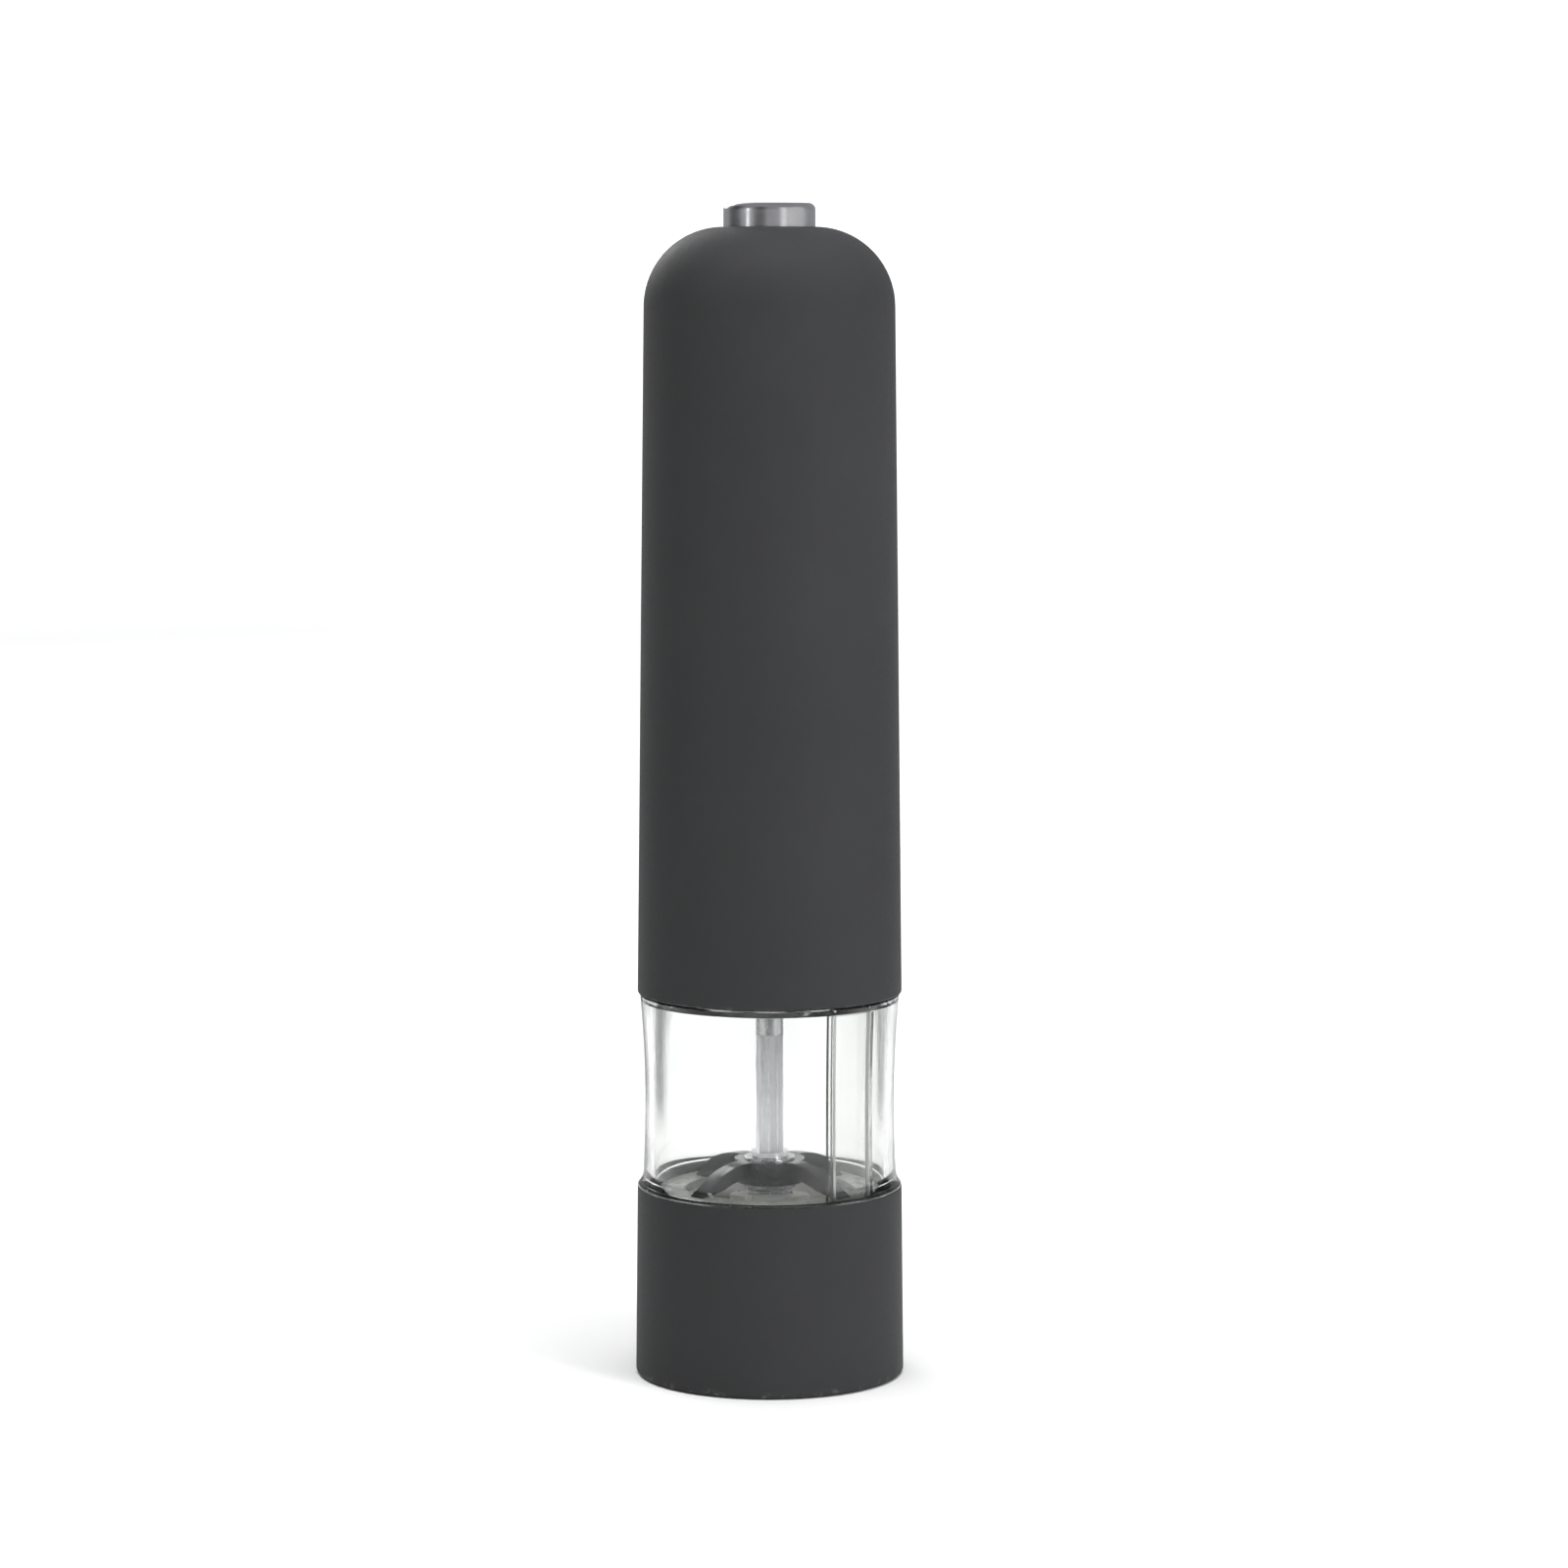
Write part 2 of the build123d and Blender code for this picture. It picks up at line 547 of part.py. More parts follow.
with BuildPart() as lamp_led:
    with Locations(lamp_place):
        rod(BULB_Z, LAMP_TOP_Z, LAMP_R)
        with Locations((0, 0, BULB_Z)):
            Sphere(LAMP_R)
        rod(LAMP_TOP_Z, LAMP_TOP_Z + LAMP_RIM_HEIGHT, LAMP_RIM_R)
    for side in (-1, 1):
        with Locations(at(LEG_CIRCLE_R, LAMP_ANGLE + LEG_SPREAD * side)):
            rod(LAMP_TOP_Z + LAMP_RIM_HEIGHT, STRIP_Z, LEG_WIRE_R)
lamp_led.part.label = "lamp_led"
export_step(lamp_led.part, "parts/lamp_led.step")

with BuildPart() as lamp_lens:
    with Locations(lamp_place):
        rod(FLOOR_Z + 2 * CLEARANCE, FLOOR_TOP_Z, LENS_R)
lamp_lens.part.label = "lamp_lens"
export_step(lamp_lens.part, "parts/lamp_lens.step")

# ================================================================ power unit
EAR_CIRCLE_R = 19.3
EAR_R = 2.2
EAR_HEAD_R = 1.8
EAR_TOP_Z = DECK_TOP_Z + 2.0
SEAL_Z = 74.5
SEAL_HEIGHT = 1.8
ORING_Z = 81.3
ORING_HEIGHT = 1.5
SPIGOT_WALL_R = 20.3
SEAL_GROOVE_R = 19.6
SEAL_R = 20.5
ORING_GROOVE_R = 22.0
ORING_R = 22.82
CHASSIS_INNER_R = 18.3
BEARING_BOSS_R = 6.2
PIN_WIRE_R = 0.6
seal_top_z = SEAL_Z + SEAL_HEIGHT
oring_top_z = ORING_Z + ORING_HEIGHT
bearing_top_z = DECK_TOP_Z - 0.4

with BuildPart() as chassis:
    turned(
        [(BEARING_R + RUNNING_GAP, CHASSIS_Z), (SPIGOT_WALL_R, CHASSIS_Z), (SPIGOT_WALL_R, SEAL_Z),
         (SEAL_GROOVE_R, SEAL_Z), (SEAL_GROOVE_R, seal_top_z), (SPIGOT_WALL_R, seal_top_z),
         (SPIGOT_WALL_R, DECK_Z), (DECK_R, DECK_Z), (DECK_R, ORING_Z), (ORING_GROOVE_R, ORING_Z),
         (ORING_GROOVE_R, oring_top_z), (DECK_R, oring_top_z), (DECK_R, DECK_TOP_Z), (15.0, DECK_TOP_Z),
         (15.0, DECK_Z), (CHASSIS_INNER_R, DECK_Z - 1.5), (CHASSIS_INNER_R, CHASSIS_Z + HOUSING_WALL),
         (BEARING_BOSS_R, CHASSIS_Z + HOUSING_WALL), (BEARING_BOSS_R, bearing_top_z),
         (BEARING_R + RUNNING_GAP, bearing_top_z)],
    )
    with PolarLocations(EAR_CIRCLE_R, 3, start_angle=BOSS_ANGLE):
        rod(DECK_Z, DECK_TOP_Z, SCREW_R, mode=Mode.SUBTRACT)
    for angle in STRIP_ANGLES:
        with Locations(at(PIN_CIRCLE_R, angle)):
            rod(DECK_Z, DECK_TOP_Z, PIN_WIRE_R, mode=Mode.SUBTRACT)
chassis.part.label = "chassis"
export_step(chassis.part, "parts/chassis.step")

with BuildPart() as jar_seal:
    turned(
        [(SEAL_GROOVE_R, SEAL_Z), (SEAL_R, SEAL_Z), (SEAL_R, seal_top_z), (SEAL_GROOVE_R, seal_top_z)],
        radii=[0, 0.5, 0.5, 0],
    )
jar_seal.part.label = "jar_seal"
export_step(jar_seal.part, "parts/jar_seal.step")

with BuildPart() as cover_oring:
    turned(
        [(ORING_GROOVE_R, ORING_Z), (ORING_R, ORING_Z), (ORING_R, oring_top_z),
         (ORING_GROOVE_R, oring_top_z)],
        radii=[0, 0.5, 0.5, 0],
    )
cover_oring.part.label = "cover_oring"
export_step(cover_oring.part, "parts/cover_oring.step")

ring_pitch_r = MODULE * RING_TEETH / 2
ring_spaces = gear_points(
    RING_TEETH, ring_pitch_r + DEDENDUM, ring_pitch_r - ADDENDUM, -THINNING / 2, first_tooth=180 / RING_TEETH
)

with BuildPart() as gearbox_housing:
    rod(DECK_TOP_Z, GEARBOX_TOP_Z, GEARBOX_R)
    with PolarLocations(EAR_CIRCLE_R, 3, start_angle=BOSS_ANGLE):
        rod(DECK_TOP_Z, EAR_TOP_Z, EAR_R)
        rod(DECK_TOP_Z, EAR_TOP_Z, SCREW_R, mode=Mode.SUBTRACT)
    with BuildSketch(Plane.XY.offset(DECK_TOP_Z)):
        with BuildLine():
            Polyline(*ring_spaces, close=True)
        make_face()
    extrude(amount=GEARBOX_TOP_Z - DECK_TOP_Z, mode=Mode.SUBTRACT)
    with PolarLocations(LID_SCREW_CIRCLE_R, 3, start_angle=LID_SCREW_ANGLE):
        rod(LID_SCREW_Z - 2 * CLEARANCE, GEARBOX_TOP_Z, SMALL_SCREW_R, mode=Mode.SUBTRACT)
gearbox_housing.part.label = "gearbox_housing"
export_step(gearbox_housing.part, "parts/gearbox_housing.step")

with BuildPart() as chassis_screws:
    with PolarLocations(EAR_CIRCLE_R, 3, start_angle=BOSS_ANGLE):
        rod(DECK_Z + 0.3, EAR_TOP_Z, SCREW_R)
        rod(EAR_TOP_Z, EAR_TOP_Z + HEAD_HEIGHT, EAR_HEAD_R)
        with Locations((0, 0, EAR_TOP_Z + HEAD_HEIGHT - DRIVE_DEPTH)):
            Box(DRIVE_LENGTH, DRIVE_WIDTH, DRIVE_DEPTH, align=BOTTOM, mode=Mode.SUBTRACT)
            Box(DRIVE_WIDTH, DRIVE_LENGTH, DRIVE_DEPTH, align=BOTTOM, mode=Mode.SUBTRACT)
chassis_screws.part.label = "chassis_screws"
export_step(chassis_screws.part, "parts/chassis_screws.step")

# ---------------------------------------------------------------- planet carriers and planets
JOURNAL_Z = FERRULE_TOP_Z + 0.3

with BuildPart() as output_carrier:
    rod(PLANET_B_Z - STAGE_GAP - CARRIER_THICKNESS, PLANET_B_Z - STAGE_GAP, CARRIER_R)
    rod(JOURNAL_Z, PLANET_B_Z - STAGE_GAP, BEARING_R)
    square_bar(SOCKET_Z + 1.0, JOURNAL_Z, SPINDLE_SIDE)
    with PolarLocations(GEAR_CENTRE_R, PLANET_COUNT):
        rod(PLANET_B_Z - STAGE_GAP, PLANET_B_Z + PLANET_THICKNESS, PIN_R)
output_carrier.part.label = "output_carrier"
export_step(output_carrier.part, "parts/output_carrier.step")

with BuildPart() as middle_carrier:
    rod(PLANET_A_Z - STAGE_GAP - CARRIER_THICKNESS, PLANET_A_Z - STAGE_GAP, CARRIER_R)
    gear(SUN_TEETH, PLANET_B_Z + CLEARANCE, PLANET_A_Z - STAGE_GAP - CARRIER_THICKNESS)
    with PolarLocations(GEAR_CENTRE_R, PLANET_COUNT):
        rod(PLANET_A_Z - STAGE_GAP, PLANET_A_Z + PLANET_THICKNESS, PIN_R)
middle_carrier.part.label = "middle_carrier"
export_step(middle_carrier.part, "parts/middle_carrier.step")

planet_pitch_r = MODULE * PLANET_TEETH / 2
planet_outline = gear_points(
    PLANET_TEETH,
    planet_pitch_r + ADDENDUM,
    planet_pitch_r - DEDENDUM,
    THINNING / 2,
    first_tooth=180 / PLANET_TEETH,
)

for stage, low in (("a", PLANET_A_Z), ("b", PLANET_B_Z)):
    for number in range(PLANET_COUNT):
        turn = 360 * number / PLANET_COUNT
        with BuildPart() as planet:
            with BuildSketch(Plane(origin=at(GEAR_CENTRE_R, turn, low), x_dir=at(1, turn), z_dir=(0, 0, 1))):
                with BuildLine():
                    Polyline(*planet_outline, close=True)
                make_face()
                Circle(PIN_R + RUNNING_GAP, mode=Mode.SUBTRACT)
            extrude(amount=PLANET_THICKNESS)
        name = f"planet_{stage}{number + 1}"
        planet.part.label = name
        export_step(planet.part, f"parts/{name}.step")

# ---------------------------------------------------------------- motor
PINION_TOP_Z = 98.2
MOTOR_SHAFT_R = 1.0
MOTOR_BOSS_R = 3.5
MOTOR_SCREW_X = 8.0
CAP_TOP_Z = 134.2
CAN_FLOOR_TOP_Z = LID_TOP_Z + 0.9
SLOT_LENGTH = 2.0
SLOT_WIDTH = 0.5
SLOT_DEPTH = 0.6
sunk_head_z = GEARBOX_TOP_Z + 1.0

with BuildPart() as gearbox_lid:
    rod(GEARBOX_TOP_Z, LID_TOP_Z, CAGE_R)
    rod(GEARBOX_TOP_Z, LID_TOP_Z, MOTOR_BOSS_R + RUNNING_GAP, mode=Mode.SUBTRACT)
    with PolarLocations(LID_SCREW_CIRCLE_R, 3, start_angle=LID_SCREW_ANGLE):
        rod(GEARBOX_TOP_Z, LID_TOP_Z, SMALL_SCREW_R, mode=Mode.SUBTRACT)
    with PolarLocations(MOTOR_SCREW_X, 2):
        rod(GEARBOX_TOP_Z, LID_TOP_Z, SMALL_SCREW_R, mode=Mode.SUBTRACT)
        rod(GEARBOX_TOP_Z, sunk_head_z, SMALL_HEAD_R, mode=Mode.SUBTRACT)
gearbox_lid.part.label = "gearbox_lid"
export_step(gearbox_lid.part, "parts/gearbox_lid.step")

with BuildPart() as motor_can:
    rod(LID_TOP_Z, CAN_TOP_Z, CAN_R)
    fillet(edges().group_by(Axis.Z)[0], 1.0)
    rod(GEARBOX_TOP_Z + 0.2, LID_TOP_Z, MOTOR_BOSS_R)
    rod(CAN_FLOOR_TOP_Z, CAN_TOP_Z, CAN_INNER_R, mode=Mode.SUBTRACT)
    rod(GEARBOX_TOP_Z, CAN_FLOOR_TOP_Z, MOTOR_SHAFT_R + RUNNING_GAP, mode=Mode.SUBTRACT)
    with PolarLocations(MOTOR_SCREW_X, 2):
        rod(LID_TOP_Z, CAN_FLOOR_TOP_Z, SMALL_SCREW_R, mode=Mode.SUBTRACT)
motor_can.part.label = "motor_can"
export_step(motor_can.part, "parts/motor_can.step")

with BuildPart() as motor_screws:
    with PolarLocations(MOTOR_SCREW_X, 2):
        rod(GEARBOX_TOP_Z, sunk_head_z, SMALL_HEAD_R)
        rod(sunk_head_z, CAN_FLOOR_TOP_Z + 0.7, SMALL_SCREW_R)
        with Locations((0, 0, GEARBOX_TOP_Z)):
            Box(SLOT_LENGTH, SLOT_WIDTH, SLOT_DEPTH, align=BOTTOM, mode=Mode.SUBTRACT)
motor_screws.part.label = "motor_screws"
export_step(motor_screws.part, "parts/motor_screws.step")

MAGNET_INNER_R = 9.7
MAGNET_ARC = 130.0

with BuildPart() as motor_magnets:
    for middle in (90, 270):
        sector(MAGNET_INNER_R, CAN_INNER_R, ARMATURE_Z - 1.0, ARMATURE_TOP_Z + 1.0, middle, MAGNET_ARC)
motor_magnets.part.label = "motor_magnets"
export_step(motor_magnets.part, "parts/motor_magnets.step")

with BuildPart() as motor_end_cap:
    rod(CAN_TOP_Z, CAP_TOP_Z, CAN_R)
    fillet(edges().group_by(Axis.Z)[-1], 0.6)
    rod(CAN_TOP_Z, CAP_TOP_Z, MOTOR_SHAFT_R + RUNNING_GAP, mode=Mode.SUBTRACT)
motor_end_cap.part.label = "motor_end_cap"
export_step(motor_end_cap.part, "parts/motor_end_cap.step")

TERMINAL_X = 7.0
TERMINAL_WIDTH = 2.8
TERMINAL_THICKNESS = 0.5

with BuildPart() as motor_terminals:
    with Locations((-TERMINAL_X, 0, CAP_TOP_Z), (TERMINAL_X, 0, CAP_TOP_Z)):
        Box(TERMINAL_THICKNESS, TERMINAL_WIDTH, 2.6, align=BOTTOM)
motor_terminals.part.label = "motor_terminals"
export_step(motor_terminals.part, "parts/motor_terminals.step")

BOARD_Z = CAP_TOP_Z + 0.6
BOARD_TOP_Z = BOARD_Z + 1.0
BOARD_R = 11.5

with BuildPart() as motor_board:
    rod(BOARD_Z, BOARD_TOP_Z, BOARD_R)
    rod(BOARD_Z, BOARD_TOP_Z, 2 * MOTOR_SHAFT_R, mode=Mode.SUBTRACT)
    with Locations((-TERMINAL_X, 0, BOARD_Z), (TERMINAL_X, 0, BOARD_Z)):
        Box(TERMINAL_THICKNESS, TERMINAL_WIDTH, BOARD_TOP_Z - BOARD_Z, align=BOTTOM, mode=Mode.SUBTRACT)
motor_board.part.label = "motor_board"
export_step(motor_board.part, "parts/motor_board.step")

with BuildPart() as motor_shaft:
    rod(PLANET_A_Z, CAP_TOP_Z, MOTOR_SHAFT_R)
motor_shaft.part.label = "motor_shaft"
export_step(motor_shaft.part, "parts/motor_shaft.step")

with BuildPart() as sun_pinion:
    gear(SUN_TEETH, PLANET_A_Z, PINION_TOP_Z)
    rod(PLANET_A_Z, PINION_TOP_Z, MOTOR_SHAFT_R, mode=Mode.SUBTRACT)
sun_pinion.part.label = "sun_pinion"
export_step(sun_pinion.part, "parts/sun_pinion.step")

# Three poles with winding slots between them, and the commutator above.
ARMATURE_R = 9.2
COMMUTATOR_R = 2.7
armature_length = ARMATURE_TOP_Z - ARMATURE_Z

with BuildPart() as armature:
    rod(ARMATURE_Z, ARMATURE_TOP_Z, ARMATURE_R)
    with PolarLocations(6.3, 3, start_angle=60):
        with Locations((0, 0, ARMATURE_Z)):
            Box(3.6, 5.4, armature_length, align=BOTTOM, mode=Mode.SUBTRACT)
    with PolarLocations(8.5, 3, start_angle=60):
        with Locations((0, 0, ARMATURE_Z)):
            Box(2.4, 1.4, armature_length, align=BOTTOM, mode=Mode.SUBTRACT)
    rod(ARMATURE_TOP_Z, COMMUTATOR_TOP_Z, COMMUTATOR_R)
    rod(ARMATURE_Z, COMMUTATOR_TOP_Z, MOTOR_SHAFT_R, mode=Mode.SUBTRACT)
armature.part.label = "armature"
export_step(armature.part, "parts/armature.step")

# The cage carries the battery box over the motor; its lugs share the lid's screws.
LUG_TOP_Z = LID_TOP_Z + 1.5
LUG_LENGTH = 4.6
LUG_WIDTH = 4.0
WINDOW_Z = 106.0
WINDOW_WIDTH = 18.0
WINDOW_HEIGHT = 27.0

with BuildPart() as motor_cage:
    rod(LID_TOP_Z, BOX_Z, CAGE_R)
    rod(LID_TOP_Z, BOX_Z, CAGE_INNER_R, mode=Mode.SUBTRACT)
    with PolarLocations(CAGE_R, 3, start_angle=LAMP_ANGLE):
        with Locations((0, 0, WINDOW_Z)):
            Box(8.0, WINDOW_WIDTH, WINDOW_HEIGHT, align=BOTTOM, mode=Mode.SUBTRACT)
    with PolarLocations(CAGE_INNER_R - 1.9, 3, start_angle=LID_SCREW_ANGLE):
        with Locations((0, 0, LID_TOP_Z)):
            Box(LUG_LENGTH, LUG_WIDTH, LUG_TOP_Z - LID_TOP_Z, align=BOTTOM)
    with PolarLocations(LID_SCREW_CIRCLE_R, 3, start_angle=LID_SCREW_ANGLE):
        rod(LID_TOP_Z, LUG_TOP_Z, SMALL_SCREW_R, mode=Mode.SUBTRACT)
motor_cage.part.label = "motor_cage"
export_step(motor_cage.part, "parts/motor_cage.step")

lid_head_top_z = LUG_TOP_Z + 1.1

with BuildPart() as lid_screws:
    with PolarLocations(LID_SCREW_CIRCLE_R, 3, start_angle=LID_SCREW_ANGLE):
        rod(LID_SCREW_Z, LUG_TOP_Z, SMALL_SCREW_R)
        rod(LUG_TOP_Z, lid_head_top_z, SMALL_HEAD_R)
        with Locations((0, 0, lid_head_top_z - SLOT_DEPTH)):
            Box(SLOT_LENGTH, SLOT_WIDTH, SLOT_DEPTH, align=BOTTOM, mode=Mode.SUBTRACT)
lid_screws.part.label = "lid_screws"
export_step(lid_screws.part, "parts/lid_screws.step")

# ---------------------------------------------------------------- cells and contacts
contact_low = BOX_FLOOR_Z + CONTACT_THICKNESS
contact_high = BOX_CEILING_Z - CONTACT_THICKNESS
CELL_QUADRANTS = ((1, 1, True), (-1, 1, False), (-1, -1, True), (1, -1, False))
NUB_R = 2.75
NUB_HEIGHT = 1.0
CONTACT_R = 5.0

with BuildPart() as aa_cells:
    for x_side, y_side, points_up in CELL_QUADRANTS:
        low = contact_high - CELL_LENGTH if points_up else contact_low
        can_low = low if points_up else low + NUB_HEIGHT
        nub_low = low + CELL_LENGTH - NUB_HEIGHT if points_up else low
        with Locations((CELL_OFFSET * x_side, CELL_OFFSET * y_side, 0)):
            rod(can_low, can_low + CELL_LENGTH - NUB_HEIGHT, CELL_R)
            rod(nub_low, nub_low + NUB_HEIGHT, NUB_R)
aa_cells.part.label = "aa_cells"
export_step(aa_cells.part, "parts/aa_cells.step")

# Bottom plates join the cells in pairs across X; the top has one bridge and two end plates.
with BuildPart() as contact_plates:
    for y_side in (-1, 1):
        with BuildSketch(Plane.XY.offset(BOX_FLOOR_Z)):
            with Locations((0, CELL_OFFSET * y_side)):
                SlotOverall(2 * (CELL_OFFSET + CONTACT_R), 2 * CONTACT_R)
        extrude(amount=CONTACT_THICKNESS)
    with BuildSketch(Plane.XY.offset(contact_high)):
        with Locations((-CELL_OFFSET, 0)):
            SlotOverall(2 * (CELL_OFFSET + CONTACT_R), 2 * CONTACT_R, rotation=90)
        with Locations((CELL_OFFSET, -CELL_OFFSET), (CELL_OFFSET, CELL_OFFSET)):
            Circle(CONTACT_R)
    extrude(amount=CONTACT_THICKNESS)
contact_plates.part.label = "contact_plates"
export_step(contact_plates.part, "parts/contact_plates.step")

# A spring presses on each cell's flat end, below the cells that point up and above the others.
CONTACT_COIL_R = 3.6
CONTACT_WIRE_R = 0.3
CONTACT_TURNS = 1.5

with BuildPart() as lower_spring:
    coil(contact_low, contact_high - CELL_LENGTH, CONTACT_COIL_R, CONTACT_WIRE_R, CONTACT_TURNS)

with BuildPart() as upper_spring:
    coil(contact_low + CELL_LENGTH, contact_high, CONTACT_COIL_R, CONTACT_WIRE_R, CONTACT_TURNS)

with BuildPart() as contact_springs:
    for x_side, y_side, points_up in CELL_QUADRANTS:
        with Locations((CELL_OFFSET * x_side, CELL_OFFSET * y_side, 0)):
            add(lower_spring.part if points_up else upper_spring.part)
contact_springs.part.label = "contact_springs"
export_step(contact_springs.part, "parts/contact_springs.step")

# Four bays round a cross of thin walls, between a floor and a ceiling disc.
BAY_WALL = 1.0
SIGNAL_X = -17.0
SIGNAL_Y = 1.3
LEAD_PLACE = (CELL_OFFSET, CELL_OFFSET - 3.0, 0)

with BuildPart() as battery_box:
    rod(BOX_Z, BOX_FLOOR_Z, CAGE_R)
    rod(BOX_CEILING_Z, BOX_TOP_Z, CAGE_R)
    with Locations((0, 0, BOX_FLOOR_Z)):
        Box(2 * CAGE_R - BAY_WALL, BAY_WALL, BOX_CEILING_Z - BOX_FLOOR_Z, align=BOTTOM)
        Box(BAY_WALL, 2 * CAGE_R - BAY_WALL, BOX_CEILING_Z - BOX_FLOOR_Z, align=BOTTOM)
    add(contact_plates.part, mode=Mode.SUBTRACT)
    with Locations((SIGNAL_X, SIGNAL_Y, 0)):
        rod(BOX_Z, BOX_TOP_Z, WIRE_R + CLEARANCE, mode=Mode.SUBTRACT)
    with Locations(LEAD_PLACE):
        rod(BOX_Z, BOX_FLOOR_Z, WIRE_R + CLEARANCE, mode=Mode.SUBTRACT)
battery_box.part.label = "battery_box"
export_step(battery_box.part, "parts/battery_box.step")

# ---------------------------------------------------------------- switch and wiring
PLUNGER_R = 1.8
PLUNGER_Z = 200.9
PLUNGER_TOP_Z = 205.6
SWITCH_LENGTH = 12.0
SWITCH_WIDTH = 9.0
well_z = PLUNGER_Z - BUTTON_TRAVEL - 4 * CLEARANCE

with BuildPart() as switch_housing:
    with Locations((0, 0, BOX_TOP_Z)):
        Box(SWITCH_LENGTH, SWITCH_WIDTH, SWITCH_TOP_Z - BOX_TOP_Z, align=BOTTOM)
    fillet(edges().group_by(Axis.Z)[-1], 0.6)
    rod(well_z, SWITCH_TOP_Z, PLUNGER_R + 2 * CLEARANCE, mode=Mode.SUBTRACT)
switch_housing.part.label = "switch_housing"
export_step(switch_housing.part, "parts/switch_housing.step")

with BuildPart() as switch_plunger:
    rod(PLUNGER_Z, PLUNGER_TOP_Z, PLUNGER_R)
    fillet(edges().group_by(Axis.Z)[-1], 0.4)
switch_plunger.part.label = "switch_plunger"
export_step(switch_plunger.part, "parts/switch_plunger.step")

LEAD_Z = BOARD_TOP_Z + WIRE_R
PIN_TOP_Z = 86.0
PIN_HEAD_R = 1.1
LAMP_WIRE_START_R = 8.5
LAMP_WIRE_RISE_R = 15.3
SWITCH_LEAD_Z = 198.5

with BuildPart() as lamp_pins:
    for angle in STRIP_ANGLES:
        with Locations(at(PIN_CIRCLE_R, angle)):
            rod(NECK_TOP_Z + CLEARANCE, PIN_TOP_Z, PIN_WIRE_R)
            rod(DECK_TOP_Z, DECK_TOP_Z + 0.6, PIN_HEAD_R)
lamp_pins.part.label = "lamp_pins"
export_step(lamp_pins.part, "parts/lamp_pins.step")

# Two lamp wires run through a window of the cage and down outside the gearbox to the lamp's pins.
# One lead runs straight up to the cells, and one up beside them to the switch.
with BuildPart() as wiring:
    for angle in STRIP_ANGLES:
        with BuildLine(radial_plane(angle)) as lamp_path:
            FilletPolyline(
                (LAMP_WIRE_START_R, LEAD_Z), (LAMP_WIRE_RISE_R, LEAD_Z), (LAMP_WIRE_RISE_R, 129.0),
                (PIN_CIRCLE_R, 122.0), (PIN_CIRCLE_R, PIN_TOP_Z),
                radius=2.5,
            )
        with BuildSketch(Plane(origin=lamp_path.line @ 0, z_dir=lamp_path.line % 0)) as lamp_wire:
            Circle(WIRE_R)
        sweep(lamp_wire.sketch, path=lamp_path.line)
    with BuildLine(Plane.XZ.offset(-SIGNAL_Y)) as switch_path:
        FilletPolyline(
            (-8.0, LEAD_Z), (SIGNAL_X, LEAD_Z), (SIGNAL_X, SWITCH_LEAD_Z),
            (-SWITCH_LENGTH / 2, SWITCH_LEAD_Z),
            radius=1.8,
        )
    with BuildSketch(Plane(origin=switch_path.line @ 0, z_dir=switch_path.line % 0)) as switch_wire:
        Circle(WIRE_R)
    sweep(switch_wire.sketch, path=switch_path.line)
    with Locations(LEAD_PLACE):
        rod(BOARD_TOP_Z, BOX_FLOOR_Z, WIRE_R)
wiring.part.label = "wiring"
export_step(wiring.part, "parts/wiring.step")

# ================================================================ cover and button
COLLAR_R = 11.8
COLLAR_INNER_R = 10.4
COLLAR_Z = 203.5
HOLE_R = BUTTON_R + 0.3
FLANGE_R = 10.2
FLANGE_Z = 211.5
FLANGE_TOP_Z = 213.1
RETAINER_TOP_Z = 205.2
STEM_R = 2.5
STEM_Z = PLUNGER_TOP_Z + 2 * CLEARANCE
BUTTON_CEILING_Z = 218.0
BUTTON_INNER_R = 7.3
BUTTON_COIL_R = 4.8
BUTTON_WIRE_R = 0.35

with BuildPart() as outer_cover:
    turned(
        [(COVER_R - WALL, COVER_Z), (COVER_R, COVER_Z), (COVER_TOP_R, DOME_Z), (BUTTON_R / 2, DOME_Z),
         (BUTTON_R / 2, DOME_Z - WALL), (COVER_TOP_R - WALL, DOME_Z - WALL)],
        radii=[0.3, 0.5, DOME_R, 0, 0, DOME_R - WALL],
    )
    rod(COLLAR_Z, DOME_Z - WALL / 2, COLLAR_R)
    rod(COLLAR_Z, DOME_Z - WALL, COLLAR_INNER_R, mode=Mode.SUBTRACT)
    rod(DOME_Z - WALL, DOME_Z, HOLE_R, mode=Mode.SUBTRACT)
outer_cover.part.label = "outer_cover"
export_step(outer_cover.part, "parts/outer_cover.step")

with BuildPart() as button_retainer:
    rod(COLLAR_Z, RETAINER_TOP_Z, COLLAR_INNER_R)
    rod(COLLAR_Z, RETAINER_TOP_Z, STEM_R + 5 * CLEARANCE, mode=Mode.SUBTRACT)
button_retainer.part.label = "button_retainer"
export_step(button_retainer.part, "parts/button_retainer.step")

with BuildPart() as push_button:
    turned(
        [(0, STEM_Z), (STEM_R, STEM_Z), (STEM_R, BUTTON_CEILING_Z), (BUTTON_INNER_R, BUTTON_CEILING_Z),
         (BUTTON_INNER_R, FLANGE_Z), (FLANGE_R, FLANGE_Z), (FLANGE_R, FLANGE_TOP_Z), (BUTTON_R, FLANGE_TOP_Z),
         (BUTTON_R, TOTAL_HEIGHT), (0, TOTAL_HEIGHT)],
        radii=[0, 0.3, 0, 0.5, 0, 0, 0, 0, 1.3, 0],
    )
push_button.part.label = "push_button"
export_step(push_button.part, "parts/push_button.step")

with BuildPart() as button_spring:
    coil(RETAINER_TOP_Z, BUTTON_CEILING_Z - CLEARANCE, BUTTON_COIL_R, BUTTON_WIRE_R, 6)
button_spring.part.label = "button_spring"
export_step(button_spring.part, "parts/button_spring.step")
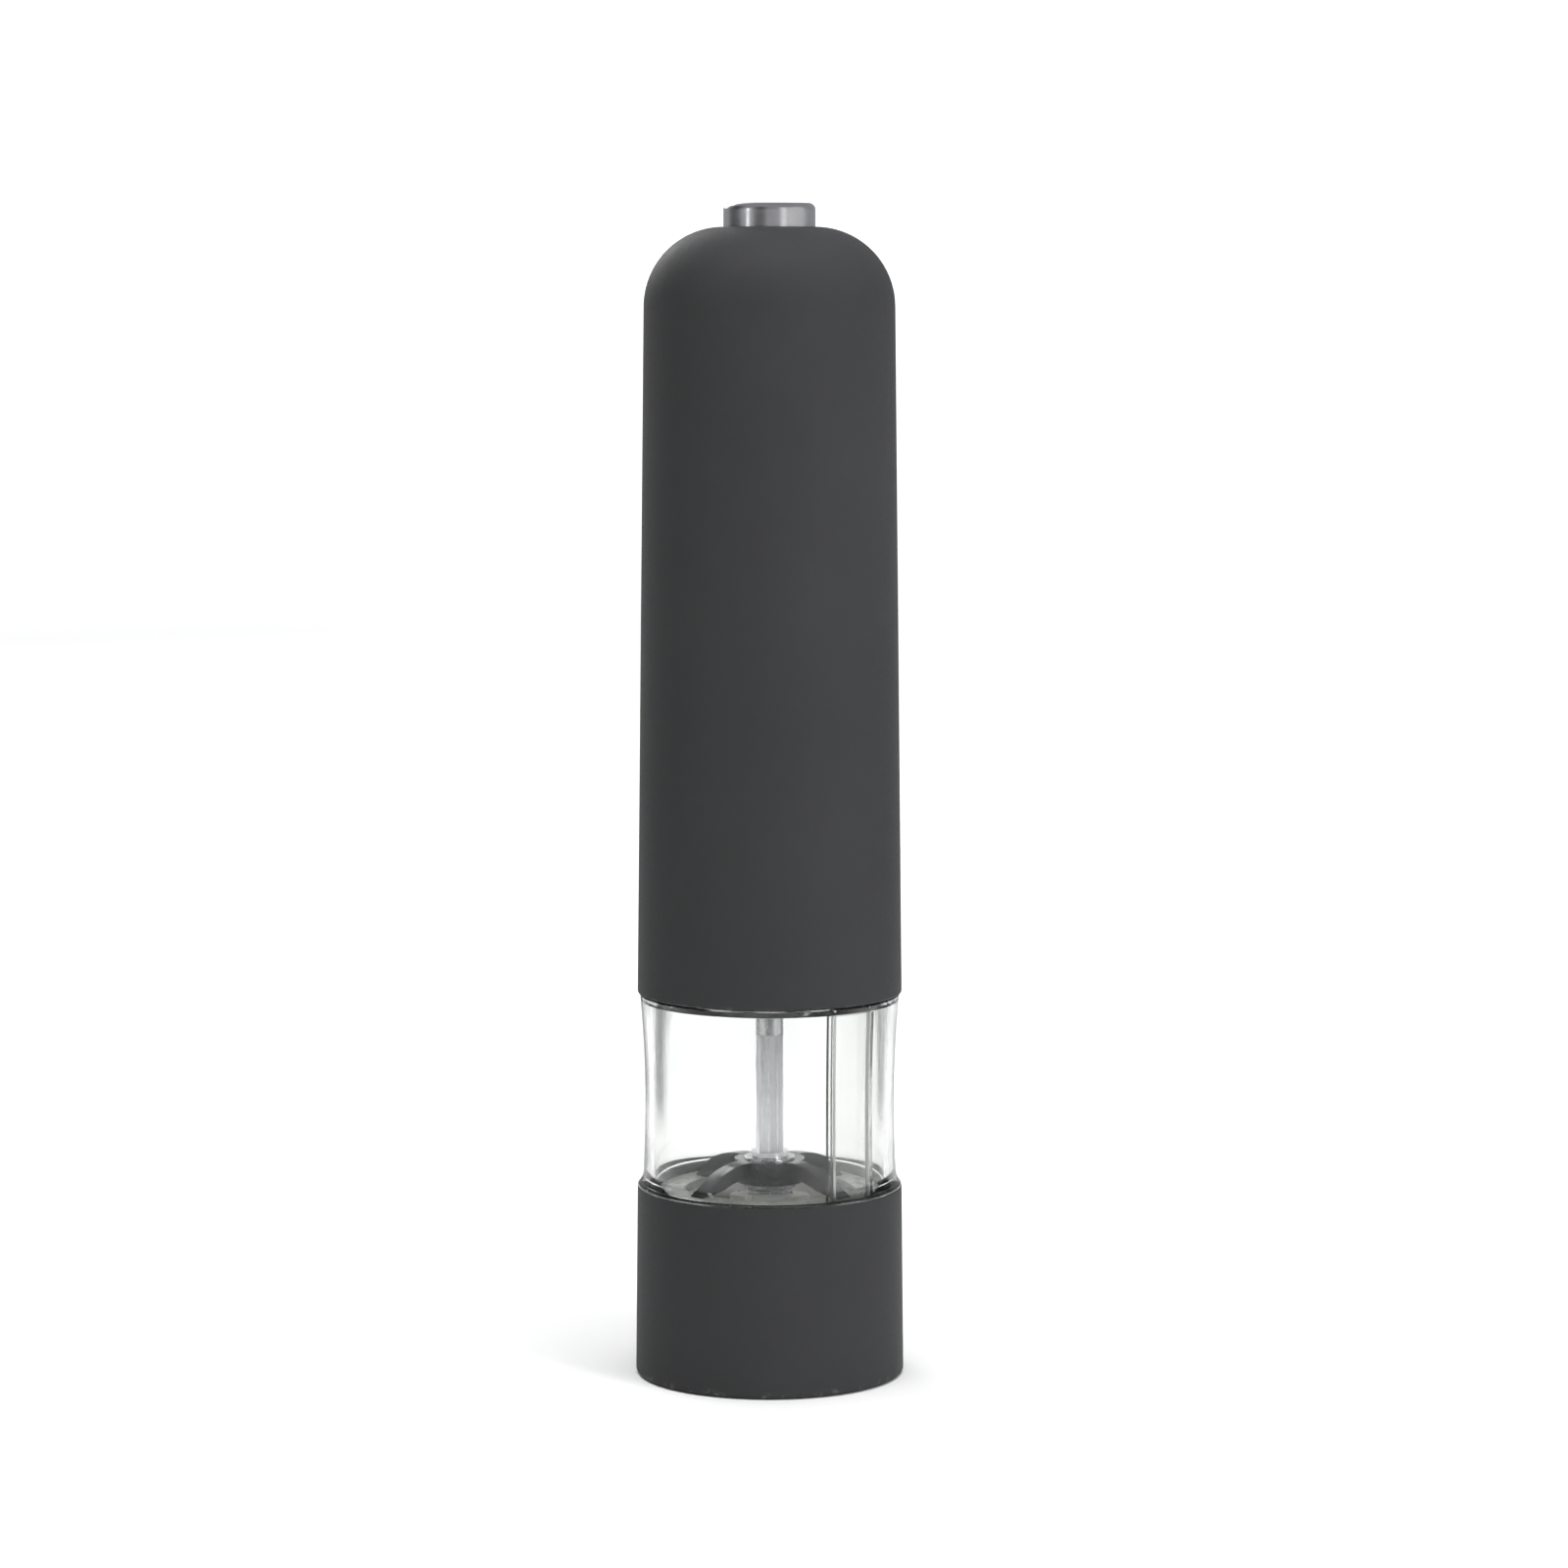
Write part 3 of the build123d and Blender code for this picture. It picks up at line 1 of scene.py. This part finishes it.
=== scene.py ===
import json
import math
import bmesh
import bpy
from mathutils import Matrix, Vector


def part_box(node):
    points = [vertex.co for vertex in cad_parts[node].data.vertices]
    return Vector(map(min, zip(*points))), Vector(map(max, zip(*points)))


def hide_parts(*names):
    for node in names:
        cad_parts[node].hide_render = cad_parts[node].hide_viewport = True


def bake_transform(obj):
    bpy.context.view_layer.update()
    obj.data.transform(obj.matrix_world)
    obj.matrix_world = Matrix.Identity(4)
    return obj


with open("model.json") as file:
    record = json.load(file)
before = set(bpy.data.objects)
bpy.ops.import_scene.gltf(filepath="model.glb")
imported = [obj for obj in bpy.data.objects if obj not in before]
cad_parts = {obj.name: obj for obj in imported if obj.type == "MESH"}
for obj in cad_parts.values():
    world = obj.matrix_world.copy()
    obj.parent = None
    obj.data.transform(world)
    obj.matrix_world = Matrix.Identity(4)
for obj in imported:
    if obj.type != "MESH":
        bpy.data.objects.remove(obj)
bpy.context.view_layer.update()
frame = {"nodes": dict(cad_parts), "record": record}

MM = 0.001
MICRON = 0.001 * MM
WHITE = (1.0, 1.0, 1.0, 1.0)
MIX_FIRST, MIX_SECOND, MIX_COLOUR = 6, 7, 2        # colour sockets of the Mix node, which share their names
NOISE_LOW, NOISE_HIGH = 0.3, 0.7                   # range that nearly all of a noise pattern lies in


# ---------------------------------------------------------------- node helpers
class Shader:
    """A material with a Principled shader, and short ways to wire procedural detail into it."""

    def __init__(self, name, colour, roughness, metallic=0.0, **constants):
        self.material = bpy.data.materials.new(name)
        self.material.use_nodes = True
        self.tree = self.material.node_tree
        self.bsdf = self.tree.nodes["Principled BSDF"]
        self.colour = colour
        self.roughness = roughness
        self.set(self.bsdf, "Base Color", (*colour, 1.0))
        self.set(self.bsdf, "Roughness", roughness)
        self.set(self.bsdf, "Metallic", metallic)
        for socket, value in constants.items():
            self.set(self.bsdf, socket.replace("_", " "), value)
        self.place = self.node("ShaderNodeTexCoord").outputs["Object"]
        self.height = None

    def set(self, node, socket, value):
        node.inputs[socket].default_value = value

    def node(self, kind, **settings):
        made = self.tree.nodes.new(kind)
        for key, value in settings.items():
            setattr(made, key, value)
        return made

    def link(self, source, target):
        self.tree.links.new(source, target)

    def stretched(self, x, y, z):
        """Object coordinates scaled by axis, for brushed or streaked patterns."""
        mapping = self.node("ShaderNodeMapping")
        self.set(mapping, "Scale", (x, y, z))
        self.link(self.place, mapping.inputs["Vector"])
        return mapping.outputs["Vector"]

    def noise(self, size, detail=3.0, roughness=0.5, where=None, distortion=0.0):
        """Noise whose features are about `size` metres across."""
        made = self.node("ShaderNodeTexNoise")
        self.set(made, "Scale", 1.0 / size)
        self.set(made, "Detail", detail)
        self.set(made, "Roughness", roughness)
        self.set(made, "Distortion", distortion)
        self.link(where or self.place, made.inputs["Vector"])
        return made.outputs["Fac"]

    def cells(self, size):
        """Cell pattern with cells about `size` metres across."""
        made = self.node("ShaderNodeTexVoronoi")
        self.set(made, "Scale", 1.0 / size)
        self.link(self.place, made.inputs["Vector"])
        return made.outputs["Distance"]

    def ranged(self, value, low_in, high_in, low_out=0.0, high_out=1.0):
        """Value carried linearly from one range to another, and clamped."""
        made = self.node("ShaderNodeMapRange")
        self.link(value, made.inputs["Value"])
        ends = {"From Min": low_in, "From Max": high_in, "To Min": low_out, "To Max": high_out}
        for socket, number in ends.items():
            self.set(made, socket, number)
        return made.outputs["Result"]

    def maths(self, operation, a, b=0.0):
        made = self.node("ShaderNodeMath", operation=operation)
        for socket, value in zip(made.inputs, (a, b)):
            if isinstance(value, (int, float)):
                socket.default_value = value
            else:
                self.link(value, socket)
        return made.outputs["Value"]

    def coordinate(self, axis):
        """One object coordinate, in metres."""
        made = self.node("ShaderNodeSeparateXYZ")
        self.link(self.place, made.inputs["Vector"])
        return made.outputs[axis]

    def radius(self):
        """Distance from the mill's axis, in metres."""
        flat = self.stretched(1, 1, 0)
        made = self.node("ShaderNodeVectorMath", operation="LENGTH")
        self.link(flat, made.inputs[0])
        return made.outputs["Value"]

    def band(self, value, low, high, soft):
        """1 between two levels, falling softly to 0 outside them."""
        rise = self.ranged(value, low - soft, low, 0.0, 1.0)
        fall = self.ranged(value, high, high + soft, 1.0, 0.0)
        return self.maths("MULTIPLY", rise, fall)

    def mix(self, factor, first, second):
        """Colour between two colours or colour outputs."""
        made = self.node("ShaderNodeMix", data_type="RGBA")
        self.link(factor, made.inputs["Factor"])
        for socket, value in ((made.inputs[MIX_FIRST], first), (made.inputs[MIX_SECOND], second)):
            if isinstance(value, tuple):
                socket.default_value = (*value, 1.0)
            else:
                self.link(value, socket)
        return made.outputs[MIX_COLOUR]

    def paint(self, output):
        self.link(output, self.bsdf.inputs["Base Color"])

    def vary_colour(self, size, spread, detail=3.0, where=None):
        """Base colour a little darker and lighter over patches of a size."""
        dark = tuple(c * (1 - spread) for c in self.colour)
        light = tuple(min(1.0, c * (1 + spread)) for c in self.colour)
        patches = self.ranged(self.noise(size, detail, where=where), NOISE_LOW, NOISE_HIGH, 0.0, 1.0)
        output = self.mix(patches, dark, light)
        self.paint(output)
        return output

    def vary_roughness(self, size, spread, detail=3.0, where=None):
        patches = self.noise(size, detail, where=where)
        low, high = self.roughness - spread, self.roughness + spread
        output = self.ranged(patches, NOISE_LOW, NOISE_HIGH, low, high)
        self.link(output, self.bsdf.inputs["Roughness"])

    def raise_surface(self, height, depth):
        """Bump of a real depth in metres; a later call adds to an earlier one."""
        made = self.node("ShaderNodeBump")
        self.set(made, "Strength", 1.0)
        self.set(made, "Distance", depth)
        self.link(height, made.inputs["Height"])
        if self.height is not None:
            self.link(self.height, made.inputs["Normal"])
        self.height = made.outputs["Normal"]
        self.link(self.height, self.bsdf.inputs["Normal"])


# ---------------------------------------------------------------- materials
# Low edge, high edge and softness of the rubbed bands at the foot and at the cover's lower edge.
FOOT_RIM = (-1.0 * MM, 0.6 * MM, 1.2 * MM)
COVER_RIM = (72.2 * MM, 72.7 * MM, 0.5 * MM)
# Heights between which a cell's sleeve turns from dark to copper.
SLEEVE_BAND = (173.5 * MM, 174.0 * MM)

RUBBED_GREY = (0.16, 0.16, 0.165)
PEPPER_DUST = (0.12, 0.08, 0.05)
SCUFF_BROWN = (0.30, 0.29, 0.25)
SLEEVE_COPPER = (0.42, 0.20, 0.07)
THICK_PLASTIC = (0.45, 0.50, 0.47, 1.0)
THICK_PLASTIC_DENSITY = 28.0


def soft_touch():
    """Matt black soft-touch paint: fine grain, faint handling marks and rubbed lower rims."""
    s = Shader("soft_touch", (0.032, 0.0324, 0.0335), 0.58, Specular_IOR_Level=0.13)
    patches = s.vary_colour(30 * MM, spread=0.06, detail=4.0)
    upright = s.stretched(1.0, 1.0, 0.25)
    smears = s.ranged(s.noise(18 * MM, 5.0, 0.6, where=upright, distortion=0.6), 0.55, 0.75)
    gloss = s.ranged(s.noise(0.6 * MM, detail=2.0), NOISE_LOW, NOISE_HIGH, 0.57, 0.64)
    smeared = s.maths("SUBTRACT", gloss, s.maths("MULTIPLY", smears, 0.05))
    s.link(smeared, s.bsdf.inputs["Roughness"])
    height = s.coordinate("Z")
    rims = s.maths("ADD", s.band(height, *FOOT_RIM), s.band(height, *COVER_RIM))
    worn = s.maths("MULTIPLY", rims, s.ranged(s.noise(2.2 * MM, 6.0, 0.7), 0.52, 0.66, 0.0, 0.55))
    s.paint(s.mix(worn, patches, RUBBED_GREY))
    s.raise_surface(s.noise(0.35 * MM, roughness=0.6), depth=12 * MICRON)
    s.raise_surface(s.noise(12 * MM, detail=2.0), depth=40 * MICRON)
    return s.material


def clear_plastic():
    """Clear moulded styrene, greyer where it is thick, with flow lines and hair scratches."""
    s = Shader("clear_plastic", (0.95, 0.955, 0.948), 0.02, Transmission_Weight=1.0, IOR=1.45)
    thickness = s.node("ShaderNodeVolumeAbsorption")
    s.set(thickness, "Color", THICK_PLASTIC)
    s.set(thickness, "Density", THICK_PLASTIC_DENSITY)
    s.link(thickness.outputs["Volume"], s.tree.nodes["Material Output"].inputs["Volume"])
    s.vary_roughness(4 * MM, spread=0.012, where=s.stretched(1.0, 1.0, 0.08))
    hairs = s.noise(0.7 * MM, detail=2.0, where=s.stretched(1.0, 1.0, 0.03))
    s.raise_surface(s.ranged(hairs, 0.62, 0.72), depth=3 * MICRON)
    s.raise_surface(s.noise(14 * MM, detail=1.0, where=s.stretched(1.0, 1.0, 0.5)), depth=60 * MICRON)
    return s.material


def chrome():
    """Chrome plate with light swirl marks."""
    s = Shader("chrome_plate", (0.50, 0.50, 0.515), 0.22, metallic=1.0)
    s.vary_colour(4 * MM, spread=0.03)
    s.vary_roughness(2.5 * MM, spread=0.03, detail=5.0)
    s.raise_surface(s.noise(0.5 * MM, detail=4.0, roughness=0.6), depth=2 * MICRON)
    return s.material


def brushed(name, colour, roughness):
    """Metal drawn along Z: fine lines run up the part."""
    line_length, line_width = 20 * MM, 0.2 * MM
    s = Shader(name, colour, roughness, metallic=1.0)
    lines = s.stretched(1.0, 1.0, line_width / line_length)
    s.vary_colour(line_width, spread=0.10, where=lines)
    s.vary_roughness(2 * line_width, spread=0.08, where=lines)
    s.raise_surface(s.noise(line_width, detail=2.0, where=lines), depth=4 * MICRON)
    return s.material


def machined(name, colour, roughness):
    """Plated or machined metal with soft clouding and fine grain."""
    s = Shader(name, colour, roughness, metallic=1.0)
    s.vary_colour(3.6 * MM, spread=0.10, detail=5.0)
    s.vary_roughness(1.2 * MM, spread=0.07, detail=4.0)
    s.raise_surface(s.noise(0.24 * MM), depth=4 * MICRON)
    return s.material


def moulded(name, colour, roughness, depth=6 * MICRON, spread=0.07, **constants):
    """Moulded plastic or rubber: fine spark texture and slight shading in the colour."""
    s = Shader(name, colour, roughness, **constants)
    s.vary_colour(6 * MM, spread, detail=4.0)
    s.vary_roughness(2 * MM, spread=0.05, detail=4.0)
    s.raise_surface(s.noise(0.3 * MM, roughness=0.6), depth)
    return s.material


def ceramic():
    """Ground white ceramic, faintly dusted with pepper."""
    s = Shader("burr_ceramic", (0.80, 0.79, 0.75), 0.38, Specular_IOR_Level=0.5)
    patches = s.vary_colour(3 * MM, spread=0.06, detail=5.0)
    specks = s.ranged(s.cells(1.1 * MM), 0.16, 0.24, 1.0, 0.0)
    sparse = s.ranged(s.noise(4 * MM, detail=2.0), 0.52, 0.60, 0.0, 0.8)
    s.paint(s.mix(s.maths("MULTIPLY", specks, sparse), patches, PEPPER_DUST))
    s.vary_roughness(1 * MM, spread=0.08)
    s.raise_surface(s.noise(0.3 * MM, detail=4.0), depth=10 * MICRON)
    return s.material


def pepper_plate():
    """Light grey chamber floor, semi-gloss, scuffed by peppercorns."""
    s = Shader("plate_plastic", (0.58, 0.60, 0.55), 0.30, Specular_IOR_Level=0.5)
    patches = s.vary_colour(8 * MM, spread=0.10, detail=5.0)
    scuffs = s.ranged(s.noise(1.2 * MM, 6.0, 0.7, distortion=1.5), 0.60, 0.70, 0.0, 0.35)
    s.paint(s.mix(scuffs, patches, SCUFF_BROWN))
    s.vary_roughness(3 * MM, spread=0.10, detail=5.0)
    s.raise_surface(s.noise(0.8 * MM, detail=4.0, roughness=0.6), depth=15 * MICRON)
    return s.material


def gloss_black():
    """Glossy black moulding of the bridge, a little wavy."""
    s = Shader("bridge_gloss", (0.008, 0.008, 0.010), 0.12, Specular_IOR_Level=0.32)
    s.vary_colour(4 * MM, spread=0.25, detail=4.0)
    s.vary_roughness(2 * MM, spread=0.06, detail=5.0)
    s.raise_surface(s.noise(3 * MM, detail=2.0), depth=60 * MICRON)
    s.raise_surface(s.noise(0.4 * MM), depth=4 * MICRON)
    return s.material


def cell_sleeve():
    """Plastic sleeve of a cell: dark body and copper-coloured upper third."""
    s = Shader("cell_sleeve", (0.03, 0.035, 0.04), 0.28, Coat_Weight=0.3, Coat_Roughness=0.15)
    upper = s.ranged(s.coordinate("Z"), *SLEEVE_BAND)
    cloud = s.vary_colour(10 * MM, spread=0.15)
    s.paint(s.mix(upper, cloud, SLEEVE_COPPER))
    s.vary_roughness(4 * MM, spread=0.06)
    s.raise_surface(s.noise(1.5 * MM), depth=8 * MICRON)
    return s.material


def winding():
    """Armature: enamelled copper wire wound lengthwise over the iron core."""
    s = Shader("winding_copper", (0.45, 0.17, 0.07), 0.32, metallic=0.85)
    lines = s.stretched(1.0, 1.0, 0.04)
    s.vary_colour(0.4 * MM, spread=0.35, where=lines)
    s.vary_roughness(0.8 * MM, spread=0.08, where=lines)
    s.raise_surface(s.noise(0.4 * MM, detail=1.0, where=lines), depth=50 * MICRON)
    return s.material


MATERIALS = {
    "soft_black": soft_touch(),
    "clear_jar": clear_plastic(),
    "chrome": chrome(),
    "shaft_steel": brushed("shaft_steel", (0.72, 0.72, 0.74), 0.30),
    "bright_steel": machined("bright_steel", (0.54, 0.54, 0.56), 0.28),
    "tinned_strip": brushed("tinned_strip", (0.50, 0.50, 0.50), 0.38),
    "ceramic_white": ceramic(),
    "plate_grey": pepper_plate(),
    "bridge_black": gloss_black(),
    "black_plastic": moulded("black_plastic", (0.030, 0.030, 0.032), 0.48),
    "gear_nylon": moulded(
        "gear_nylon", (0.72, 0.70, 0.62), 0.42, Subsurface_Weight=0.1, Subsurface_Scale=1 * MM,
    ),
    "brass": machined("brass", (0.72, 0.52, 0.22), 0.24),
    "rubber": moulded("rubber", (0.020, 0.020, 0.020), 0.72, depth=10 * MICRON),
    "motor_steel": machined("motor_steel", (0.50, 0.51, 0.52), 0.30),
    "spring_steel": machined("spring_steel", (0.55, 0.55, 0.57), 0.26),
    "magnet": moulded("magnet", (0.035, 0.035, 0.037), 0.55, depth=20 * MICRON),
    "copper_iron": winding(),
    "cell_jacket": cell_sleeve(),
    "wire_jacket": moulded("wire_jacket", (0.42, 0.02, 0.02), 0.40),
    "circuit_board": moulded("circuit_board", (0.02, 0.12, 0.05), 0.34, spread=0.2),
    "led_clear": clear_plastic(),
}
slot_of = {part["node"]: part["material_slot"] for part in frame["record"]["subparts"]}
for name, node in frame["nodes"].items():
    node.data.materials.clear()
    node.data.materials.append(MATERIALS[slot_of[name]])


def new_object(name, mesh, material):
    """Object with one material, linked into the scene."""
    made = bpy.data.objects.new(name, mesh)
    bpy.context.scene.collection.objects.link(made)
    mesh.materials.append(material)
    return made


# ---------------------------------------------------------------- springs
WIRE_SIDES = 10
STEPS_A_TURN = 36


def wound_height(wound, total, bottom, top, turns, closed, wire_r):
    """Height of a spring's wire after a number of turns: close-wound at both ends, even between them."""
    closed_rise = 2 * wire_r * closed
    if wound < closed:
        return bottom + 2 * wire_r * wound
    if wound > total - closed:
        return top - 2 * wire_r * (total - wound)
    return bottom + closed_rise + (top - bottom - 2 * closed_rise) * (wound - closed) / turns


def coil_spring(node, wire_r, turns, closed):
    """Round-wire spring, closed at its ends, that shortens between the two bodies it presses apart."""
    lowest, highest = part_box(node)
    coil_r = highest[0] - wire_r
    bottom, top = lowest[2] + wire_r, highest[2] - wire_r
    total = turns + 2 * closed
    steps = round(total * STEPS_A_TURN)
    made = bmesh.new()
    rings = []
    for step in range(steps + 1):
        wound = total * step / steps
        height = wound_height(wound, total, bottom, top, turns, closed, wire_r)
        turn = 2 * math.pi * wound
        ring = []
        for side in range(WIRE_SIDES):
            angle = 2 * math.pi * side / WIRE_SIDES
            reach = coil_r + wire_r * math.cos(angle)
            rise = wire_r * math.sin(angle)
            ring.append(made.verts.new((reach * math.cos(turn), reach * math.sin(turn), height + rise)))
        rings.append(ring)
    for ring, after in zip(rings, rings[1:]):
        for side in range(WIRE_SIDES):
            beyond = (side + 1) % WIRE_SIDES
            made.faces.new((ring[side], ring[beyond], after[beyond], after[side]))
    made.faces.new(rings[0])
    made.faces.new(rings[-1])
    bmesh.ops.recalc_face_normals(made, faces=made.faces)
    mesh = bpy.data.meshes.new(node + "_wire")
    made.to_mesh(mesh)
    made.free()
    mesh.shade_smooth()
    spring = new_object(node + "_wire", mesh, MATERIALS[slot_of[node]])
    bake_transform(spring)
    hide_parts(node)


# node, wire radius, working turns, closed turns at each end
coil_spring("button_spring", 0.35 * MM, 5, 1)
coil_spring("rotor_spring", 0.25 * MM, 1.5, 0.25)


# ---------------------------------------------------------------- studio
AIM = (0.0, 0.0, 0.11)
CAMERA_PLACE = (0.0027, -0.913, 0.211)
CAMERA_DOWN = 6.2
CAMERA_LENS = 112.5
CAMERA_SENSOR = 36.0
CAMERA_CLIP = (0.05, 20.0)
SKY_COLOUR = (0.97, 0.98, 1.0, 1.0)
SKY_STRENGTH = 0.4

FLOOR_HOLE = 0.001
FLOOR_RADIUS = 2.6
FLOOR_GLOW_START = 0.3
FLOOR_EDGE_GLOW = 0.84
WALL_GLOW = 0.80
WALL_CURVE = 1.4
WALL_STEPS = 14
SHEET_SIDES = 96
CARD_FOOT_FADE = 0.022

# name, place, width and height, power in watts, whether chrome mirrors it
LIGHTS = (
    ("key_light", (1.05, -0.95, 0.65), (0.45, 1.0), 15.5, False),
    ("back_light", (-0.6, 1.2, 0.8), (0.8, 0.8), 7.3, True),
    ("top_light", (0.0, -0.1, 1.4), (1.0, 1.0), 23.0, False),
    ("fill_light", (-1.15, -0.80, 0.45), (0.10, 0.5), 0.9, True),
)

# name, direction from the front towards +X in degrees, distance, width, top edge, shade, glow
CARDS = (
    ("card_left", -98, 1.5, 1.4, 1.6, 0.10, 0.0),
    ("card_front", -24, 1.5, 0.95, 1.6, 0.10, 0.0),
    ("card_right_glow", 72, 1.5, 2.2, 1.3, 0.10, 0.65),
    ("card_key_glow", 36, 1.3, 0.45, 1.1, 0.10, 1.1),
    ("card_front_low", 0, 0.30, 0.50, 0.10, 0.10, 0.0),
    ("card_left_streak", -158, 0.20, 0.060, 0.10, 0.22, 0.0),
    ("card_left_edge", 118, 0.20, 0.110, 0.10, 0.10, 0.0),
    ("card_right_edge", -118, 0.20, 0.110, 0.10, 0.30, 0.0),
    ("card_right_streak", 158, 0.20, 0.040, 0.10, 0.55, 0.0),
)


def round_sheet(name, rings, material):
    """Surface of rings about the Z axis, each a (radius, height) pair, as a piece of the studio."""
    points = []
    faces = []
    for radius, height in rings:
        for side in range(SHEET_SIDES):
            turn = 2 * math.pi * side / SHEET_SIDES
            points.append((radius * math.cos(turn), radius * math.sin(turn), height))
    for ring in range(len(rings) - 1):
        for side in range(SHEET_SIDES):
            here = ring * SHEET_SIDES + side
            after = ring * SHEET_SIDES + (side + 1) % SHEET_SIDES
            faces.append((here, here + SHEET_SIDES, after + SHEET_SIDES, after))
    mesh = bpy.data.meshes.new(name)
    mesh.from_pydata(points, [], faces)
    mesh.shade_smooth()
    sheet = new_object(name, mesh, material)
    return sheet


def studio_floor():
    """Pale floor, and a lit white wall round it that only the camera and clear pieces see."""
    s = Shader("floor_paper", (0.74, 0.74, 0.74), 0.85, Specular_IOR_Level=0.1, Emission_Color=WHITE)
    s.vary_colour(400 * MM, spread=0.01)
    s.raise_surface(s.noise(2 * MM, detail=2.0), depth=20 * MICRON)
    glow = s.ranged(s.radius(), FLOOR_GLOW_START, FLOOR_RADIUS, 0.0, FLOOR_EDGE_GLOW)
    s.link(glow, s.bsdf.inputs["Emission Strength"])
    round_sheet("studio_floor", [(FLOOR_HOLE, 0.0), (FLOOR_RADIUS, 0.0)], s.material)
    rise = []
    for step in range(WALL_STEPS + 1):
        turn = math.radians(90 * step / WALL_STEPS)
        rise.append((FLOOR_RADIUS + WALL_CURVE * math.sin(turn), WALL_CURVE * (1 - math.cos(turn))))
    paper = Shader("wall_paper", (0.93, 0.93, 0.93), 0.9, Emission_Color=WHITE, Emission_Strength=WALL_GLOW)
    paper.vary_colour(400 * MM, spread=0.01)
    wall = round_sheet("studio_wall", rise, paper.material)
    wall.visible_diffuse = False
    wall.visible_glossy = False
    wall.visible_shadow = False


def soft_light(name, place, size, power, mirrored):
    """Rectangular soft box turned towards the mill; chrome shows it only if it is mirrored."""
    data = bpy.data.lights.new(name, "AREA")
    data.shape = "RECTANGLE"
    data.size, data.size_y = size
    data.energy = power
    light = bpy.data.objects.new(name, data)
    light.location = place
    light.rotation_mode = "QUATERNION"
    light.rotation_quaternion = (Vector(AIM) - Vector(place)).to_track_quat("-Z", "Y")
    light.visible_glossy = mirrored
    bpy.context.scene.collection.objects.link(light)


def card(name, degrees, distance, width, top, shade, glow):
    """Dark or glowing card with soft edges that only glossy and clear surfaces see, as set beside chrome."""
    turn = math.radians(degrees)
    side = width / 2
    mesh = bpy.data.meshes.new(name)
    corners = [(-side, 0.0, 0.0), (side, 0.0, 0.0), (side, 0.0, top), (-side, 0.0, top)]
    mesh.from_pydata(corners, [], [(0, 1, 2, 3)])
    s = Shader(name, (shade, shade, shade), 0.9, Specular_IOR_Level=0.0,
               Emission_Color=WHITE, Emission_Strength=glow)
    s.vary_colour(200 * MM, spread=0.1)
    sideways = s.ranged(s.maths("ABSOLUTE", s.coordinate("X")), side / 2, side, 1.0, 0.0)
    upwards = s.ranged(s.coordinate("Z"), 0.0, CARD_FOOT_FADE)
    s.link(s.maths("MULTIPLY", sideways, upwards), s.bsdf.inputs["Alpha"])
    sheet = new_object(name, mesh, s.material)
    sheet.location = (math.sin(turn) * distance, -math.cos(turn) * distance, 0.0)
    sheet.rotation_euler = (0.0, 0.0, turn)
    sheet.visible_camera = False
    sheet.visible_diffuse = False
    sheet.visible_shadow = False


def camera():
    """Long lens in front, a little above the mill's top, looking slightly down."""
    data = bpy.data.cameras.new("camera")
    data.lens = CAMERA_LENS
    data.sensor_width = CAMERA_SENSOR
    data.clip_start, data.clip_end = CAMERA_CLIP
    made = bpy.data.objects.new("camera", data)
    made.location = CAMERA_PLACE
    made.rotation_euler = (math.radians(90 - CAMERA_DOWN), 0.0, 0.0)
    bpy.context.scene.collection.objects.link(made)
    bpy.context.scene.camera = made


def studio():
    studio_floor()
    for row in LIGHTS:
        soft_light(*row)
    for row in CARDS:
        card(*row)
    world = bpy.data.worlds.new("studio_world")
    world.use_nodes = True
    background = world.node_tree.nodes["Background"]
    background.inputs["Color"].default_value = SKY_COLOUR
    background.inputs["Strength"].default_value = SKY_STRENGTH
    scene = bpy.context.scene
    scene.world = world
    scene.view_settings.view_transform = "Standard"
    camera()


studio()
